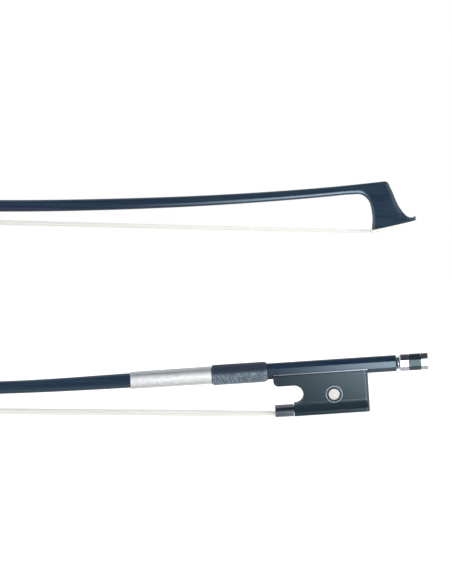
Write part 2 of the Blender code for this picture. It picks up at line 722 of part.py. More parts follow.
def build_frog(slider, finish):
    """The block is its side view run across, trimmed to its sections, with the ferrule's tongue."""
    frog = add_piece("frog_body", prism_across(frog_side(), FERRULE_WIDTH), finish, slider, smooth=25)
    rounding = []
    for k in range(7):
        angle = math.pi / 2 * k / 6
        rounding.append((frogRear - REAR_ROUND * (1 - math.sin(angle)), REAR_ROUND * (1 - math.cos(angle))))
    stations = [(frogFront - 2 * MM, 0.0), *rounding, (frogRear + 0.5 * MM, REAR_ROUND)]
    width = loft([frog_section(u, inset) for u, inset in stations])
    trim(frog, add_tool("frog_width", width, slider), "INTERSECT")

    tongue = [(y, max(w, hairRoof)) for y, w in ferrule_outline(FERRULE_WALL + SEAT_GAP)]
    tongue = [point for k, point in enumerate(tongue) if point != tongue[k - 1]]
    flat = [point for point in tongue if point[1] > hairRoof]
    left, right = flat[-1][0], flat[0][0]
    tongue = [(right, hairRoof), *flat, (left, hairRoof)]
    arm = prism_along(tongue, frogFront + SEAT_GAP, throatEnd)
    trim(frog, add_tool("frog_tongue", arm, slider), "UNION")

    corner = channelApothem * math.tan(math.pi / 8)
    rise = channelApothem * math.sqrt(2)
    wide = FERRULE_WIDTH
    channel = [(-corner, -channelApothem), (corner, -channelApothem), (wide, wide - rise)]
    channel += [(wide, wide), (-wide, wide), (-wide, wide - rise)]
    around = prism_along(channel, frogFront - 3 * MM, frogRear + 3 * MM)
    trim(frog, add_tool("stick_channel", around, slider))

    # Hair pocket between tongue and mortise, the slide's dovetail and the mortise itself
    pocket = box(
        (frogShoulder - 1 * MM, -hairPocketHalf, slideRoof - 0.4 * MM),
        (mortiseFront + 1 * MM, hairPocketHalf, hairRoof),
    )
    trim(frog, add_tool("hair_pocket", pocket, slider))
    dovetail = slide_outline(frogBottom - 1 * MM, slideRoof, SEAT_GAP)
    groove = prism_along(dovetail, frogShoulder - 1 * MM, frogRear - SLIDE_REAR_WALL)
    trim(frog, add_tool("slide_groove", groove, slider))
    half = frogMortiseHalf
    mortise = box((mortiseFront, -half, frogBottom - 2 * MM), (mortiseRear, half, mortiseRoof))
    trim(frog, add_tool("frog_mortise", mortise, slider))

    # Seats for the eyes on both cheeks, the two pins and the eyelet's post
    seats = []
    for side in (-1, 1):
        face, back = side * FERRULE_WIDTH, side * (frogTopWidth / 2 - EYE_DEPTH - SEAT_GAP)
        outer = EYE_DIAMETER / 2 + SEAT_GAP
        inner = EYE_DIAMETER / 2 - EYE_BAND - SEAT_GAP
        seats.append(loft([across_ring(outer, face), across_ring(outer, back),
                           across_ring(inner, back), across_ring(inner, face)], loop=True))
        seats.append(loft([across_ring(PEARL_DIAMETER / 2 + SEAT_GAP, y) for y in (face, back)]))
    for u in pin_places():
        depth = linerInner + PIN_LENGTH + SEAT_GAP
        seats.append(round_up(u, PIN_RADIUS + SEAT_GAP, -depth, 0, 12))
    depth = channelApothem + EYELET_POST_DEPTH + SEAT_GAP
    seats.append(round_up(eyeletCentre, EYELET_POST_RADIUS + SEAT_GAP, -depth, 0, 20))
    trim(frog, add_tool("frog_seats", merge(seats), slider))
    return frog


def across_ring(radius, y):
    """A circle on a cheek, round the centre of the eye."""
    u, w = frogFront + EYE_FROM_FRONT, frogBottom + EYE_ABOVE_BOTTOM
    return [(u + a, y, w + b) for a, b in circle(radius, 28)]


def pin_places():
    return frogFront + PIN_INSET, frogRear - PIN_INSET


def slide_outline(low, high, clearance):
    """Dovetail section (y, w) of the slide between two levels, grown by a clearance."""

    def half(w):
        return slideWidth / 2 + SLIDE_SPREAD * (w - frogBottom) / (1.5 * MM) + clearance

    return [(-half(low), low), (half(low), low), (half(high), high), (-half(high), high)]


def build_ferrule(slider, finish):
    outer, inner = ferrule_outline(0.0), ferrule_outline(FERRULE_WALL)
    rings = [
        [(frogFront, y, w) for y, w in outer],
        [(ferruleRear, y, w) for y, w in outer],
        [(ferruleRear, y, w) for y, w in inner],
        [(frogFront, y, w) for y, w in inner],
    ]
    return add_piece("ferrule", loft(rings, loop=True), finish, slider, smooth=30)


def build_ferrule_wedge(slider, finish):
    top = hairRoof - SEAT_GAP
    half = FERRULE_WIDTH / 2 - FERRULE_WALL - SEAT_GAP * 2
    rings = []
    for u, thickness in ((frogFront + SEAT_GAP, 1.0), (frogFront + SEAT_GAP + WEDGE_LENGTH, WEDGE_TAPER)):
        low = blend(top, wedgeBottom, thickness)
        rings.append([(u, -half, low), (u, half, low), (u, half, top), (u, -half, top)])
    return add_piece("ferrule_wedge", loft(rings), finish, slider)


def build_slide(slider, pearl, dark):
    start, end = frogShoulder, frogRear - SLIDE_REAR_WALL - SEAT_GAP
    facing = prism_along(slide_outline(frogBottom, pearlTop, 0.0), start, end)
    add_piece("pearl_slide", facing, pearl, slider)
    carrier = prism_along(slide_outline(backingBottom, backingTop, 0.0), start, end)
    add_piece("slide_backing", carrier, dark, slider)


def frog_knot_centre():
    return mortiseFront + SEAT_GAP + KNOT_RADIUS, mortiseRoof - SEAT_GAP - KNOT_RADIUS


def build_frog_plug(slider, finish):
    front = mortiseFront + HAIR_THICKNESS + 2 * SEAT_GAP
    half = frogMortiseHalf - SEAT_GAP
    knotBottom = frog_knot_centre()[1] - KNOT_RADIUS
    plug = box((front, -half, slideRoof), (mortiseRear - SEAT_GAP, half, knotBottom - SEAT_GAP))
    return add_piece("frog_plug", plug, finish, slider)


def build_knots(slider, tip_finish, frog_finish):
    x, z = tip_knot_centre()
    bar = round_across(x, z, KNOT_RADIUS, -tipKnotHalf, tipKnotHalf, 16)
    add_piece("tip_hair_knot", bar, tip_finish, smooth=40)
    u, w = frog_knot_centre()
    half = frogMortiseHalf - 2 * SEAT_GAP
    bar = round_across(u, w, KNOT_RADIUS, -half, half, 16)
    add_piece("frog_hair_knot", bar, frog_finish, slider, smooth=40)


def build_underslide(slider, finish):
    """Bent liner along the three lower faces of the handle, its edges flush with the frog's cheeks."""
    half = frogTopWidth / 2
    outline = []
    for apothem, side in ((linerInner, 1), (linerOuter, -1)):
        corner = apothem * math.tan(math.pi / 8)
        edge = half - apothem * math.sqrt(2)
        points = [(-half, edge), (-corner, -apothem), (corner, -apothem), (half, edge)]
        outline += points[::side]
    liner = add_piece("underslide", prism_along(outline, frogFront + 0.3 * MM, frogRear), finish, slider)
    holes = [round_up(u, PIN_RADIUS + SEAT_GAP, -channelApothem, -handleApothem, 12) for u in pin_places()]
    holes.append(round_up(eyeletCentre, EYELET_POST_RADIUS + SEAT_GAP, -channelApothem, -handleApothem, 20))
    trim(liner, add_tool("underslide_holes", merge(holes), slider))
    return liner


def build_pins(slider, finish):
    for name, u in zip(("underslide_pin_front", "underslide_pin_rear"), pin_places()):
        pin = round_up(u, PIN_RADIUS, -linerInner - PIN_LENGTH, -linerInner, 12)
        add_piece(name, pin, finish, slider, smooth=40)


def build_eyes(slider, ring_finish, pearl_finish):
    for name, side in (("near", -1), ("far", 1)):
        face, back = side * frogTopWidth / 2, side * (frogTopWidth / 2 - EYE_DEPTH)
        outer, inner = EYE_DIAMETER / 2, EYE_DIAMETER / 2 - EYE_BAND
        band = loft([across_ring(outer, face), across_ring(outer, back),
                     across_ring(inner, back), across_ring(inner, face)], loop=True)
        add_piece("eye_ring_" + name, band, ring_finish, slider, smooth=40)
        disc = loft([across_ring(PEARL_DIAMETER / 2, y) for y in (face, back)])
        add_piece("eye_pearl_" + name, disc, pearl_finish, slider, smooth=40)


def build_eyelet(slider, finish):
    """Threaded eye round the screw, on a post that stands in the frog."""
    start, end = eyeletCentre - EYELET_LENGTH / 2, eyeletCentre + EYELET_LENGTH / 2
    eye = turned([(start, eyeletRadius), (end, eyeletRadius)], 24)
    eyelet = add_piece("frog_eyelet", eye, finish, slider, smooth=40)
    foot = -channelApothem - EYELET_POST_DEPTH
    post = round_up(eyeletCentre, EYELET_POST_RADIUS, foot, -SCREW_RADIUS, 20)
    trim(eyelet, add_tool("eyelet_post", post, slider), "UNION")
    bore = turned([(start - 1 * MM, SCREW_RADIUS + RUN_GAP), (end + 1 * MM, SCREW_RADIUS + RUN_GAP)], 24)
    trim(eyelet, add_tool("eyelet_bore", bore, slider))
    return eyelet


# Screw and button


def build_screw(turner, finish):
    spigotEnd = slotFront - SPIGOT_LENGTH
    profile = [
        (spigotEnd, SPIGOT_RADIUS - SPIGOT_CHAMFER),
        (spigotEnd + SPIGOT_CHAMFER, SPIGOT_RADIUS),
        (slotFront + 2 * SEAT_GAP, SPIGOT_RADIUS),
        (slotFront + 2 * SEAT_GAP, SCREW_RADIUS),
        (screwEnd, SCREW_RADIUS),
    ]
    return add_piece("adjuster_screw", turned(profile, 20), finish, turner, smooth=40)


def build_collar(turner, finish):
    bore = SCREW_RADIUS + SEAT_GAP
    outer = collarDiameter / 2
    bulge = COLLAR_LENGTH / 2
    start = collarFront
    profile = [(start, bore)]
    for k in range(7):
        angle = math.pi * k / 6
        profile.append((start + bulge * (1 - math.cos(angle)), outer - bulge * (1 - math.sin(angle))))
    profile.append((start + COLLAR_LENGTH, bore))
    return add_piece("button_collar", turned(profile, 32, loop=True), finish, turner, smooth=50)


def octagon_rings(stations):
    return [[(u, y, w) for y, w in octagon(flats)] for u, flats in stations]


def build_button(turner, metal, dark):
    bore = SCREW_RADIUS + SEAT_GAP
    ringBore = buttonFlats - 2 * RING_WALL
    spigot = ringBore - 2 * SEAT_GAP
    chamfered = buttonFlats - 2 * BUTTON_CHAMFER
    frontWall = ringFront + RING_WALL
    drill = turned([(0.0, bore), (screwEnd + SEAT_GAP, bore)], 20)
    drill = add_tool("button_bore", drill, turner)

    front = octagon_rings(
        [
            (ringFront, chamfered),
            (ringFront + BUTTON_CHAMFER, buttonFlats),
            (coreFront - SEAT_GAP, buttonFlats),
            (coreFront - SEAT_GAP, ringBore),
            (frontWall, ringBore),
        ]
    )
    trim(add_piece("button_ring_front", loft(front), metal, turner), drill)
    core = octagon_rings(
        [
            (frontWall + SEAT_GAP, spigot),
            (coreFront, spigot),
            (coreFront, buttonFlats),
            (coreRear, buttonFlats),
            (coreRear, spigot),
            (buttonEnd - CORE_RECESS, spigot),
        ]
    )
    trim(add_piece("button_core", loft(core), dark, turner), drill)
    rear = octagon_rings(
        [
            (ringRear, ringBore),
            (ringRear, buttonFlats),
            (buttonEnd - BUTTON_CHAMFER, buttonFlats),
            (buttonEnd, chamfered),
            (buttonEnd, ringBore),
        ]
    )
    add_piece("button_ring_rear", loft(rear, loop=True), metal, turner)


# Grip


def build_leather(handle, finish):
    """Leather sleeve, flat-ended and rounded at the front, drawn down to the stick at the rear."""
    outer = handleApothem + LEATHER_RISE
    inner = handleApothem / math.cos(math.pi / 8) + SEAT_GAP
    edge = inner + LEATHER_EDGE
    profile = [(leatherFront, edge)]
    for k in range(1, 5):
        angle = math.pi / 2 * k / 4
        along = LEATHER_ROUND * (1 - math.cos(angle))
        profile.append((leatherFront + along, outer - (outer - edge) * (1 - math.sin(angle))))
    profile += [
        (leatherRear - LEATHER_TAPER, outer),
        (leatherRear - LEATHER_TAPER / 2, outer - LEATHER_DROP),
        (leatherRear, edge),
    ]
    leather = add_piece("leather_grip", turned(profile, 40), finish, handle, smooth=30)
    stations = [leatherFront - 2 * MM]
    stations += [-octagonLength - OCTAGON_RUNOUT * k / 4 for k in (4, 3, 2, 1, 0)]
    stations += [leatherRear + 2 * MM]
    core = loft([handle_ring(u, SEAT_GAP) for u in stations])
    trim(leather, add_tool("leather_bore", core, handle))
    return leather


def winding_radius(u):
    """Distance of the wire's centre from the handle axis."""
    reach = max(math.hypot(y, w) for _, y, w in handle_ring(u))
    return reach + SEAT_GAP + WIRE_DIAMETER / 2


def winding_path():
    """Points of the wire in the handle frame: a helix whose ends bend to run straight along the stick."""
    straight = WIRE_DIAMETER
    lead = straight + WIRE_BEND
    radius = winding_radius(windingRear)
    pitch = (WINDING_LENGTH - 2 * lead) / WIRE_TURNS
    flat = []
    bendSteps = 6
    for k in range(bendSteps):
        angle = math.pi / 2 * k / bendSteps
        around = -WIRE_BEND * (1 - math.sin(angle))
        flat.append((windingFront + straight + WIRE_BEND * (1 - math.cos(angle)), around - WIRE_BEND))
    flat = [(windingFront, -2 * WIRE_BEND), *flat]
    turnLength = 2 * math.pi * radius
    steps = WIRE_TURNS * WIRE_TURN_POINTS
    helix = []
    for k in range(steps + 1):
        share = k / WIRE_TURN_POINTS
        helix.append((windingFront + lead + pitch * share, turnLength * share))
    last = helix[-1][1]
    mirrored = [(windingFront + windingRear - u, last - around) for u, around in reversed(flat)]
    points = []
    for u, around in flat + helix + mirrored:
        angle = around / radius
        reach = winding_radius(u)
        points.append(Vector((u, reach * math.cos(angle), reach * math.sin(angle))))
    return points


def build_winding(handle, finish):
    points = winding_path()
    curve = bpy.data.curves.new("wire_winding", "CURVE")
    curve.dimensions = "3D"
    curve.bevel_depth = WIRE_DIAMETER / 2
    curve.bevel_resolution = 1
    curve.use_fill_caps = True
    curve.materials.append(finish)
    spline = curve.splines.new("POLY")
    spline.points.add(len(points) - 1)
    for spot, point in zip(spline.points, points):
        spot.co = (*point, 1.0)
    winding = bpy.data.objects.new("wire_winding", curve)
    bpy.context.scene.collection.objects.link(winding)
    winding.parent = handle
    half = WIRE_TURN_POINTS // 2
    gaps = []
    for k, point in enumerate(points):
        gaps += [(point - other).length for other in points[k + half : k + 2 * half + half]]
    print("least gap between turns of the winding, mm:", round((min(gaps) - WIRE_DIAMETER) / MM, 3))
    return winding


def add_empty(name):
    """An empty on the handle axis, with its local X along the axis."""
    empty = bpy.data.objects.new(name, None)
    bpy.context.scene.collection.objects.link(empty)
    empty.location = (handleX, 0.0, handleZ)
    empty.rotation_euler = (0.0, -HANDLE_TILT, 0.0)
    return empty


def build():
    clear_scene()
    handle = add_empty("handle_axis")
    slider = add_empty("frog_slide_axis")
    turner = add_empty("screw_axis")

    mortise = add_tool("tip_mortise", tip_mortise())
    stick = build_stick(handle, material("dark stick", (0.020, 0.026, 0.042), 0.25))
    trim(stick, mortise)
    liner = build_head_facing("head_liner", linerLevel, linerLevel + LINER_THICKNESS,
                              material("ebony liner", (0.012, 0.012, 0.014), 0.4), nose=False)
    trim(liner, mortise)
    plate = build_head_facing("tip_plate", 0.0, PLATE_THICKNESS,
                              material("bone plate", (0.82, 0.80, 0.74), 0.35), nose=True)
    trim(plate, mortise)
    build_tip_wedge(material("maple wedge", (0.62, 0.44, 0.26), 0.6))
    build_hair(material("bow hair", (0.80, 0.79, 0.73), 0.45))

    build_frog(slider, material("ebony frog", (0.022, 0.033, 0.042), 0.3))
    build_ferrule(slider, material("silver ferrule", (0.62, 0.65, 0.68), 0.2, 1.0))
    build_ferrule_wedge(slider, material("spread wedge maple", (0.62, 0.44, 0.26), 0.6))
    build_slide(slider, material("pearl strip", (0.78, 0.78, 0.74), 0.2),
                material("ebony backing", (0.02, 0.02, 0.02), 0.5))
    build_frog_plug(slider, material("plug maple", (0.60, 0.43, 0.27), 0.6))
    build_knots(slider, material("bound hair tip", (0.55, 0.50, 0.38), 0.7),
                material("bound hair frog", (0.55, 0.50, 0.38), 0.7))
    build_underslide(slider, material("nickel silver liner", (0.68, 0.69, 0.68), 0.25, 1.0))
    build_pins(slider, material("brass pins", (0.60, 0.46, 0.20), 0.35, 1.0))
    build_eyes(slider, material("silver eye rings", (0.80, 0.81, 0.82), 0.2, 1.0),
               material("eye pearl", (0.76, 0.76, 0.70), 0.2))
    build_eyelet(slider, material("brass eyelet", (0.62, 0.48, 0.22), 0.3, 1.0))

    build_screw(turner, material("screw steel", (0.50, 0.50, 0.52), 0.3, 1.0))
    build_collar(turner, material("silver collar", (0.76, 0.78, 0.80), 0.2, 1.0))
    build_button(turner, material("silver button rings", (0.78, 0.79, 0.80), 0.22, 1.0),
                 material("ebony button", (0.025, 0.03, 0.036), 0.3))

    build_leather(handle, material("grip leather", (0.030, 0.032, 0.040), 0.6))
    build_winding(handle, material("winding wire", (0.72, 0.73, 0.74), 0.25, 1.0))


build()
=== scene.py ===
import json
import math

import bmesh
import bpy
from mathutils import Matrix, Vector, noise


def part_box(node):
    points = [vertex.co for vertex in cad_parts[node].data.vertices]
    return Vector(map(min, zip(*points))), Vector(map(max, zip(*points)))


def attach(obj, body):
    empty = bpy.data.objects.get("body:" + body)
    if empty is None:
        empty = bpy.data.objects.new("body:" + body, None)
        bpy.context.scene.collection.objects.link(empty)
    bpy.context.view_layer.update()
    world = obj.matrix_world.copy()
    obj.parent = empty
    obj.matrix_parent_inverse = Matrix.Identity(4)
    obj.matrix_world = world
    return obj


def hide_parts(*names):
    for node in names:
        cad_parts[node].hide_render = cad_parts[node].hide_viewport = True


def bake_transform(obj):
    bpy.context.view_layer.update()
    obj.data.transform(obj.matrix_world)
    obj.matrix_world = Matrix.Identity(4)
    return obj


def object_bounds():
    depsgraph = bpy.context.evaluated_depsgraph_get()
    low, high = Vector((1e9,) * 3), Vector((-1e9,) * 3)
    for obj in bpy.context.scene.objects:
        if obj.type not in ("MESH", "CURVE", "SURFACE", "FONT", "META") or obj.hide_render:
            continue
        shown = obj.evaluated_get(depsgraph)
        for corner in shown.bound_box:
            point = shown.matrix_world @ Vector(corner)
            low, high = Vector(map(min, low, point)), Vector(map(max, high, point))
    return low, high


# Violin bow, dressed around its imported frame.
# X runs along the hair from the head to the button, Y across, Z up.
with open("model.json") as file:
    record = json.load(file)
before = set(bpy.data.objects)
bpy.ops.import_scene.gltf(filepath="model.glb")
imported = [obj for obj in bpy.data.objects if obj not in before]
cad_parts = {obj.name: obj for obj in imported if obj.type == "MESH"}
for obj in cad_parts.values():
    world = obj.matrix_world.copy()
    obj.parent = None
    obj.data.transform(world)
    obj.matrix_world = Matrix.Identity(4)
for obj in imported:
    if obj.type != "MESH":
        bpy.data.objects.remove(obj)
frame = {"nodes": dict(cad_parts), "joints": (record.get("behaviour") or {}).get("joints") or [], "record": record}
cadLow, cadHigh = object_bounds()
mm = 0.001

# The screw's joint gives the handle's own frame: u along it to the button, w up from it
screwJoint = next(j for j in frame["joints"] if j["name"] == "screw_turn")
handleOrigin = Vector(screwJoint["pos_m"])
handleTilt = math.atan2(-screwJoint["axis"][2], -screwJoint["axis"][0])
handleMatrix = Matrix.Translation(handleOrigin) @ Matrix.Rotation(-handleTilt, 4, "Y")
toHandle = handleMatrix.inverted()


def handleSpan(node):
    # start and end of a CAD node along the handle
    reach = [(toHandle @ v.co).x for v in frame["nodes"][node].data.vertices]
    return min(reach), max(reach)


def heightSpan(node, behind=-1.0):
    # lowest and highest point of a CAD node across the handle, of all that lies behind a place along it
    points = [toHandle @ v.co for v in frame["nodes"][node].data.vertices]
    reach = [p.z for p in points if p.x > behind]
    return min(reach), max(reach)


def linear(hexColour):
    # sRGB hex to the linear values that the shader wants
    parts = [int(hexColour[i:i + 2], 16) / 255 for i in (1, 3, 5)]
    return [p / 12.92 if p <= 0.04045 else ((p + 0.055) / 1.055) ** 2.4 for p in parts] + [1.0]


def addNode(tree, kind, settings=None, links=None):
    # settings fill inputs, properties or a ramp's stops, links join other nodes or one of their outputs
    node = tree.nodes.new(kind)
    for name, value in [*(settings or {}).items(), *(links or {}).items()]:
        if name == "stops":
            stops = node.color_ramp.elements
            stops.remove(stops[1])
            for k, (place, colour) in enumerate(value):
                stop = stops.new(place) if k else stops[0]
                stop.position = place
                stop.color = colour
        elif isinstance(value, bpy.types.Node):
            tree.links.new(value.outputs[0], node.inputs[name])
        elif isinstance(value, bpy.types.NodeSocket):
            tree.links.new(value, node.inputs[name])
        elif isinstance(name, int) or name in node.inputs:
            node.inputs[name].default_value = value
        else:
            setattr(node, name, value)
    return node


def emptyTree(owner):
    # the node tree of a material or a world, with nothing in it yet
    owner.use_nodes = True
    owner.node_tree.nodes.clear()
    return owner.node_tree


def newMaterial(name, settings):
    material = bpy.data.materials.new(name)
    material.use_nodes = True
    tree = material.node_tree
    shader = tree.nodes["Principled BSDF"]
    for socket, value in settings.items():
        shader.inputs[socket].default_value = value
    return material, tree, shader


def joinFinish(tree, shader, look, colour, pattern=None, relief=None):
    # the colour, a roughness that follows a pattern, and a bump from the relief
    tree.links.new(colour, shader.inputs["Base Color"])
    if pattern:
        low, high = look["roughness"]
        rough = addNode(tree, "ShaderNodeMapRange", {"To Min": low, "To Max": high}, {"Value": pattern})
        tree.links.new(rough.outputs[0], shader.inputs["Roughness"])
    if relief:
        bump = addNode(tree, "ShaderNodeBump", {
            "Strength": look["bump"], "Distance": look["depth"], "Height": relief,
        })
        tree.links.new(bump.outputs["Normal"], shader.inputs["Normal"])


def grained(name, look, settings):
    # two tones that wander along one noise, drawn out along the bow as fibre, grain or tool marks
    material, tree, shader = newMaterial(name, settings)
    place = addNode(tree, "ShaderNodeTexCoord").outputs["Object"]
    drawn = addNode(tree, "ShaderNodeMapping", {"Scale": look["grain"]}, {"Vector": place})
    grain = addNode(tree, "ShaderNodeTexNoise", {
        "Scale": 1.0, "Detail": look["detail"], "Roughness": look["fineness"], "Vector": drawn,
    })
    stops = [(at, linear(tone)) for at, tone in zip(look["band"], look["tones"])]
    colour = addNode(tree, "ShaderNodeValToRGB", {"stops": stops}, {"Fac": grain}).outputs["Color"]
    return material, tree, shader, place, grain, colour


print("materials")

# Carbon fibre under clear lacquer: deep blue-black with a hard, wet gloss.
# Its fibre bundles run along the stick, about 1.5 mm wide and 60 mm long
lacquer = {"tones": ("#19263b", "#213543"), "band": (0.35, 0.65), "tint": "#dceef6", "grain": (16, 650, 650),
           "detail": 4.0, "fineness": 0.5, "roughness": (0.15, 0.26), "ripple": 3.125 * mm, "bump": 0.05,
           "depth": 0.1 * mm}


def carbonLacquer():
    material, tree, shader, place, fibre, colour = grained("lacqueredCarbonFibre", lacquer, {
        "Specular Tint": linear(lacquer["tint"]),
    })
    # lacquer levels to a faint ripple, which is all the relief there is
    ripple = addNode(tree, "ShaderNodeTexNoise", {
        "Scale": 1 / lacquer["ripple"], "Detail": 1.0, "Vector": place,
    })
    joinFinish(tree, shader, lacquer, colour, fibre, ripple)
    return material


# Ebony, oiled and buffed: near black with a cool cast, fine straight grain and open pores.
# The pores are about 0.1 mm wide and 0.7 mm long
ebonyLook = {"tones": ("#121e27", "#1a2a33"), "band": (0.3, 0.72), "tint": "#dff2f8",
             "grain": (110, 1900, 1900), "detail": 6.0, "fineness": 0.65, "roughness": (0.24, 0.38),
             "bump": 0.06, "depth": 0.1 * mm, "pore": "#0b131a", "poreGrain": (420, 2600, 2600),
             "poreEdge": (0.08, 0.2)}


def ebonyWood():
    material, tree, shader, place, grain, wood = grained("oiledEbony", ebonyLook, {
        "Specular Tint": linear(ebonyLook["tint"]),
    })
    drawn = addNode(tree, "ShaderNodeMapping", {"Scale": ebonyLook["poreGrain"]}, {"Vector": place})
    pores = addNode(tree, "ShaderNodeTexVoronoi", {"Scale": 1.0}, {"Vector": drawn})
    inner, outer = ebonyLook["poreEdge"]
    mask = addNode(tree, "ShaderNodeMapRange", {
        "From Min": inner, "From Max": outer, "To Min": 1.0, "To Max": 0.0, "Value": pores,
    })
    mixed = addNode(tree, "ShaderNodeMix", {"data_type": "RGBA", 7: linear(ebonyLook["pore"])}, {
        0: mask, 6: wood,
    })
    joinFinish(tree, shader, ebonyLook, mixed.outputs[2], grain, grain)
    return material


# Worked metal with fine polishing or drawing lines, and pale natural stuff with streaks along the bow
metalLines = {"band": (0.3, 0.7), "detail": 5.0, "fineness": 0.6, "bump": 0.04, "depth": 0.05 * mm}
paleStreaks = {"band": (0.35, 0.65), "detail": 5.0, "fineness": 0.5, "bump": 0.08, "depth": 0.1 * mm}


def grainOnly(name, tones, roughness, grain, kind, metallic=0.0):
    look = {**kind, "tones": tones, "roughness": roughness, "grain": grain}
    material, tree, shader, _, pattern, colour = grained(name, look, {"Metallic": metallic})
    joinFinish(tree, shader, look, colour, pattern, pattern)
    return material


def drawnMetal(name, tones, roughness, lines):
    return grainOnly(name, tones, roughness, lines, metalLines, 1.0)


def paleSolid(name, tones, roughness, streaks):
    return grainOnly(name, tones, roughness, streaks, paleStreaks)


# Goat leather, dyed blue-black and glazed, with small raised pebbles. Painted light: the lower half is painted
# paler as a sheen, and pebble tops there get pale painted glints.
# The painted light runs from one height over the handle's axis down to the other, the glints in patches 4 mm
# across
leatherLook = {"tone": "#1e2b3d", "paintedSheen": "#4a5b68", "pale": "#a3b2be", "pebble": 0.55 * mm,
               "pebbleTop": (0.05, 0.6), "warp": 0.0004, "warpGrain": 900.0, "patchGrain": 260.0,
               "paintedLightFrom": 1.9 * mm, "paintedLightTo": 0.2 * mm, "paintedGlint": (0.14, 0.34), "roughness": (0.3, 0.57),
               "bump": 0.55, "depth": 0.12 * mm}


def gripLeather():
    look = leatherLook
    material, tree, shader = newMaterial("blackGoatLeather", {"Specular IOR Level": 0.45})
    place = addNode(tree, "ShaderNodeTexCoord").outputs["Object"]
    warp = addNode(tree, "ShaderNodeTexNoise", {"Scale": look["warpGrain"], "Detail": 2.0, "Vector": place})
    shifted = addNode(tree, "ShaderNodeMix", {"data_type": "VECTOR", 0: look["warp"]}, {
        4: place, 5: warp.outputs["Color"],
    }).outputs[1]
    cells = addNode(tree, "ShaderNodeTexVoronoi", {"Scale": 1 / look["pebble"]}, {"Vector": shifted})
    inner, outer = look["pebbleTop"]
    top = addNode(tree, "ShaderNodeMapRange", {
        "From Min": inner, "From Max": outer, "To Min": 1.0, "To Max": 0.0, "Value": cells,
    })
    roughnessAndGlintPatches = addNode(tree, "ShaderNodeTexNoise", {
        "Scale": look["patchGrain"], "Detail": 5.0, "Vector": place,
    })
    # height above the handle's axis, so that only the lower half gets the painted light
    up = handleMatrix.to_3x3() @ Vector((0, 0, 1))
    height = addNode(tree, "ShaderNodeVectorMath", {"operation": "DOT_PRODUCT", 0: place, 1: up})
    axis = up.dot(handleOrigin)
    paintedLowLight = addNode(tree, "ShaderNodeMapRange", {
        "From Min": axis + look["paintedLightFrom"], "From Max": axis + look["paintedLightTo"],
        "Value": height.outputs["Value"],
    })
    # pebble tops in patches get pale painted glints, only in the lower half
    paintedSheen = addNode(tree, "ShaderNodeMath", {"operation": "MULTIPLY"}, {0: top, 1: roughnessAndGlintPatches})
    both = addNode(tree, "ShaderNodeMath", {"operation": "MULTIPLY"}, {0: paintedSheen, 1: paintedLowLight})
    first, full = look["paintedGlint"]
    paintedGlint = addNode(tree, "ShaderNodeMapRange", {"From Min": first, "From Max": full}, {"Value": both})
    # the lower half is painted paler: painted sheen
    stops = [(0.1, linear(look["tone"])), (1.0, linear(look["paintedSheen"]))]
    ground = addNode(tree, "ShaderNodeValToRGB", {"stops": stops}, {"Fac": paintedLowLight}).outputs["Color"]
    mixed = addNode(tree, "ShaderNodeMix", {"data_type": "RGBA", 7: linear(look["pale"])}, {
        0: paintedGlint, 6: ground,
    })
    joinFinish(tree, shader, look, mixed.outputs[2], roughnessAndGlintPatches, top)
    return material


# Bleached horsehair: off-white, each strand a little different, with a soft shine along it
hairLook = {"tones": ("#efeee8", "#fbfaf5"), "roughness": (0.26, 0.44)}


def bowHair():
    material, tree, shader = newMaterial("bleachedHorsehair", {"Sheen Weight": 0.6, "Sheen Roughness": 0.4})
    strand = addNode(tree, "ShaderNodeAttribute", {"attribute_name": "strand"}).outputs["Fac"]
    chance = addNode(tree, "ShaderNodeTexWhiteNoise", {"noise_dimensions": "1D"}, {"W": strand})
    stops = [(at, linear(tone)) for at, tone in enumerate(hairLook["tones"])]
    colour = addNode(tree, "ShaderNodeValToRGB", {"stops": stops}, {"Fac": chance}).outputs["Color"]
    joinFinish(tree, shader, hairLook, colour, chance)
    return material


# Mother of pearl: pale grey-white layers that drift between green and pink, under a polished face
pearlLook = {"layers": [(0.3, "#cdd0c7"), (0.45, "#cbd5cd"), (0.57, "#ddd0d3"), (0.7, "#e4dfda")],
             "cloud": 1.6 * mm, "bump": 0.06, "depth": 0.1 * mm}


def motherOfPearl():
    material, tree, shader = newMaterial("motherOfPearl", {
        "Roughness": 0.16, "Coat Weight": 0.5, "Coat Roughness": 0.05,
    })
    place = addNode(tree, "ShaderNodeTexCoord").outputs["Object"]
    cloud = addNode(tree, "ShaderNodeTexNoise", {
        "Scale": 1 / pearlLook["cloud"], "Detail": 3.0, "Distortion": 1.2, "Vector": place,
    })
    stops = [(at, linear(tone)) for at, tone in pearlLook["layers"]]
    colour = addNode(tree, "ShaderNodeValToRGB", {"stops": stops}, {"Fac": cloud}).outputs["Color"]
    joinFinish(tree, shader, pearlLook, colour, relief=cloud)
    return material


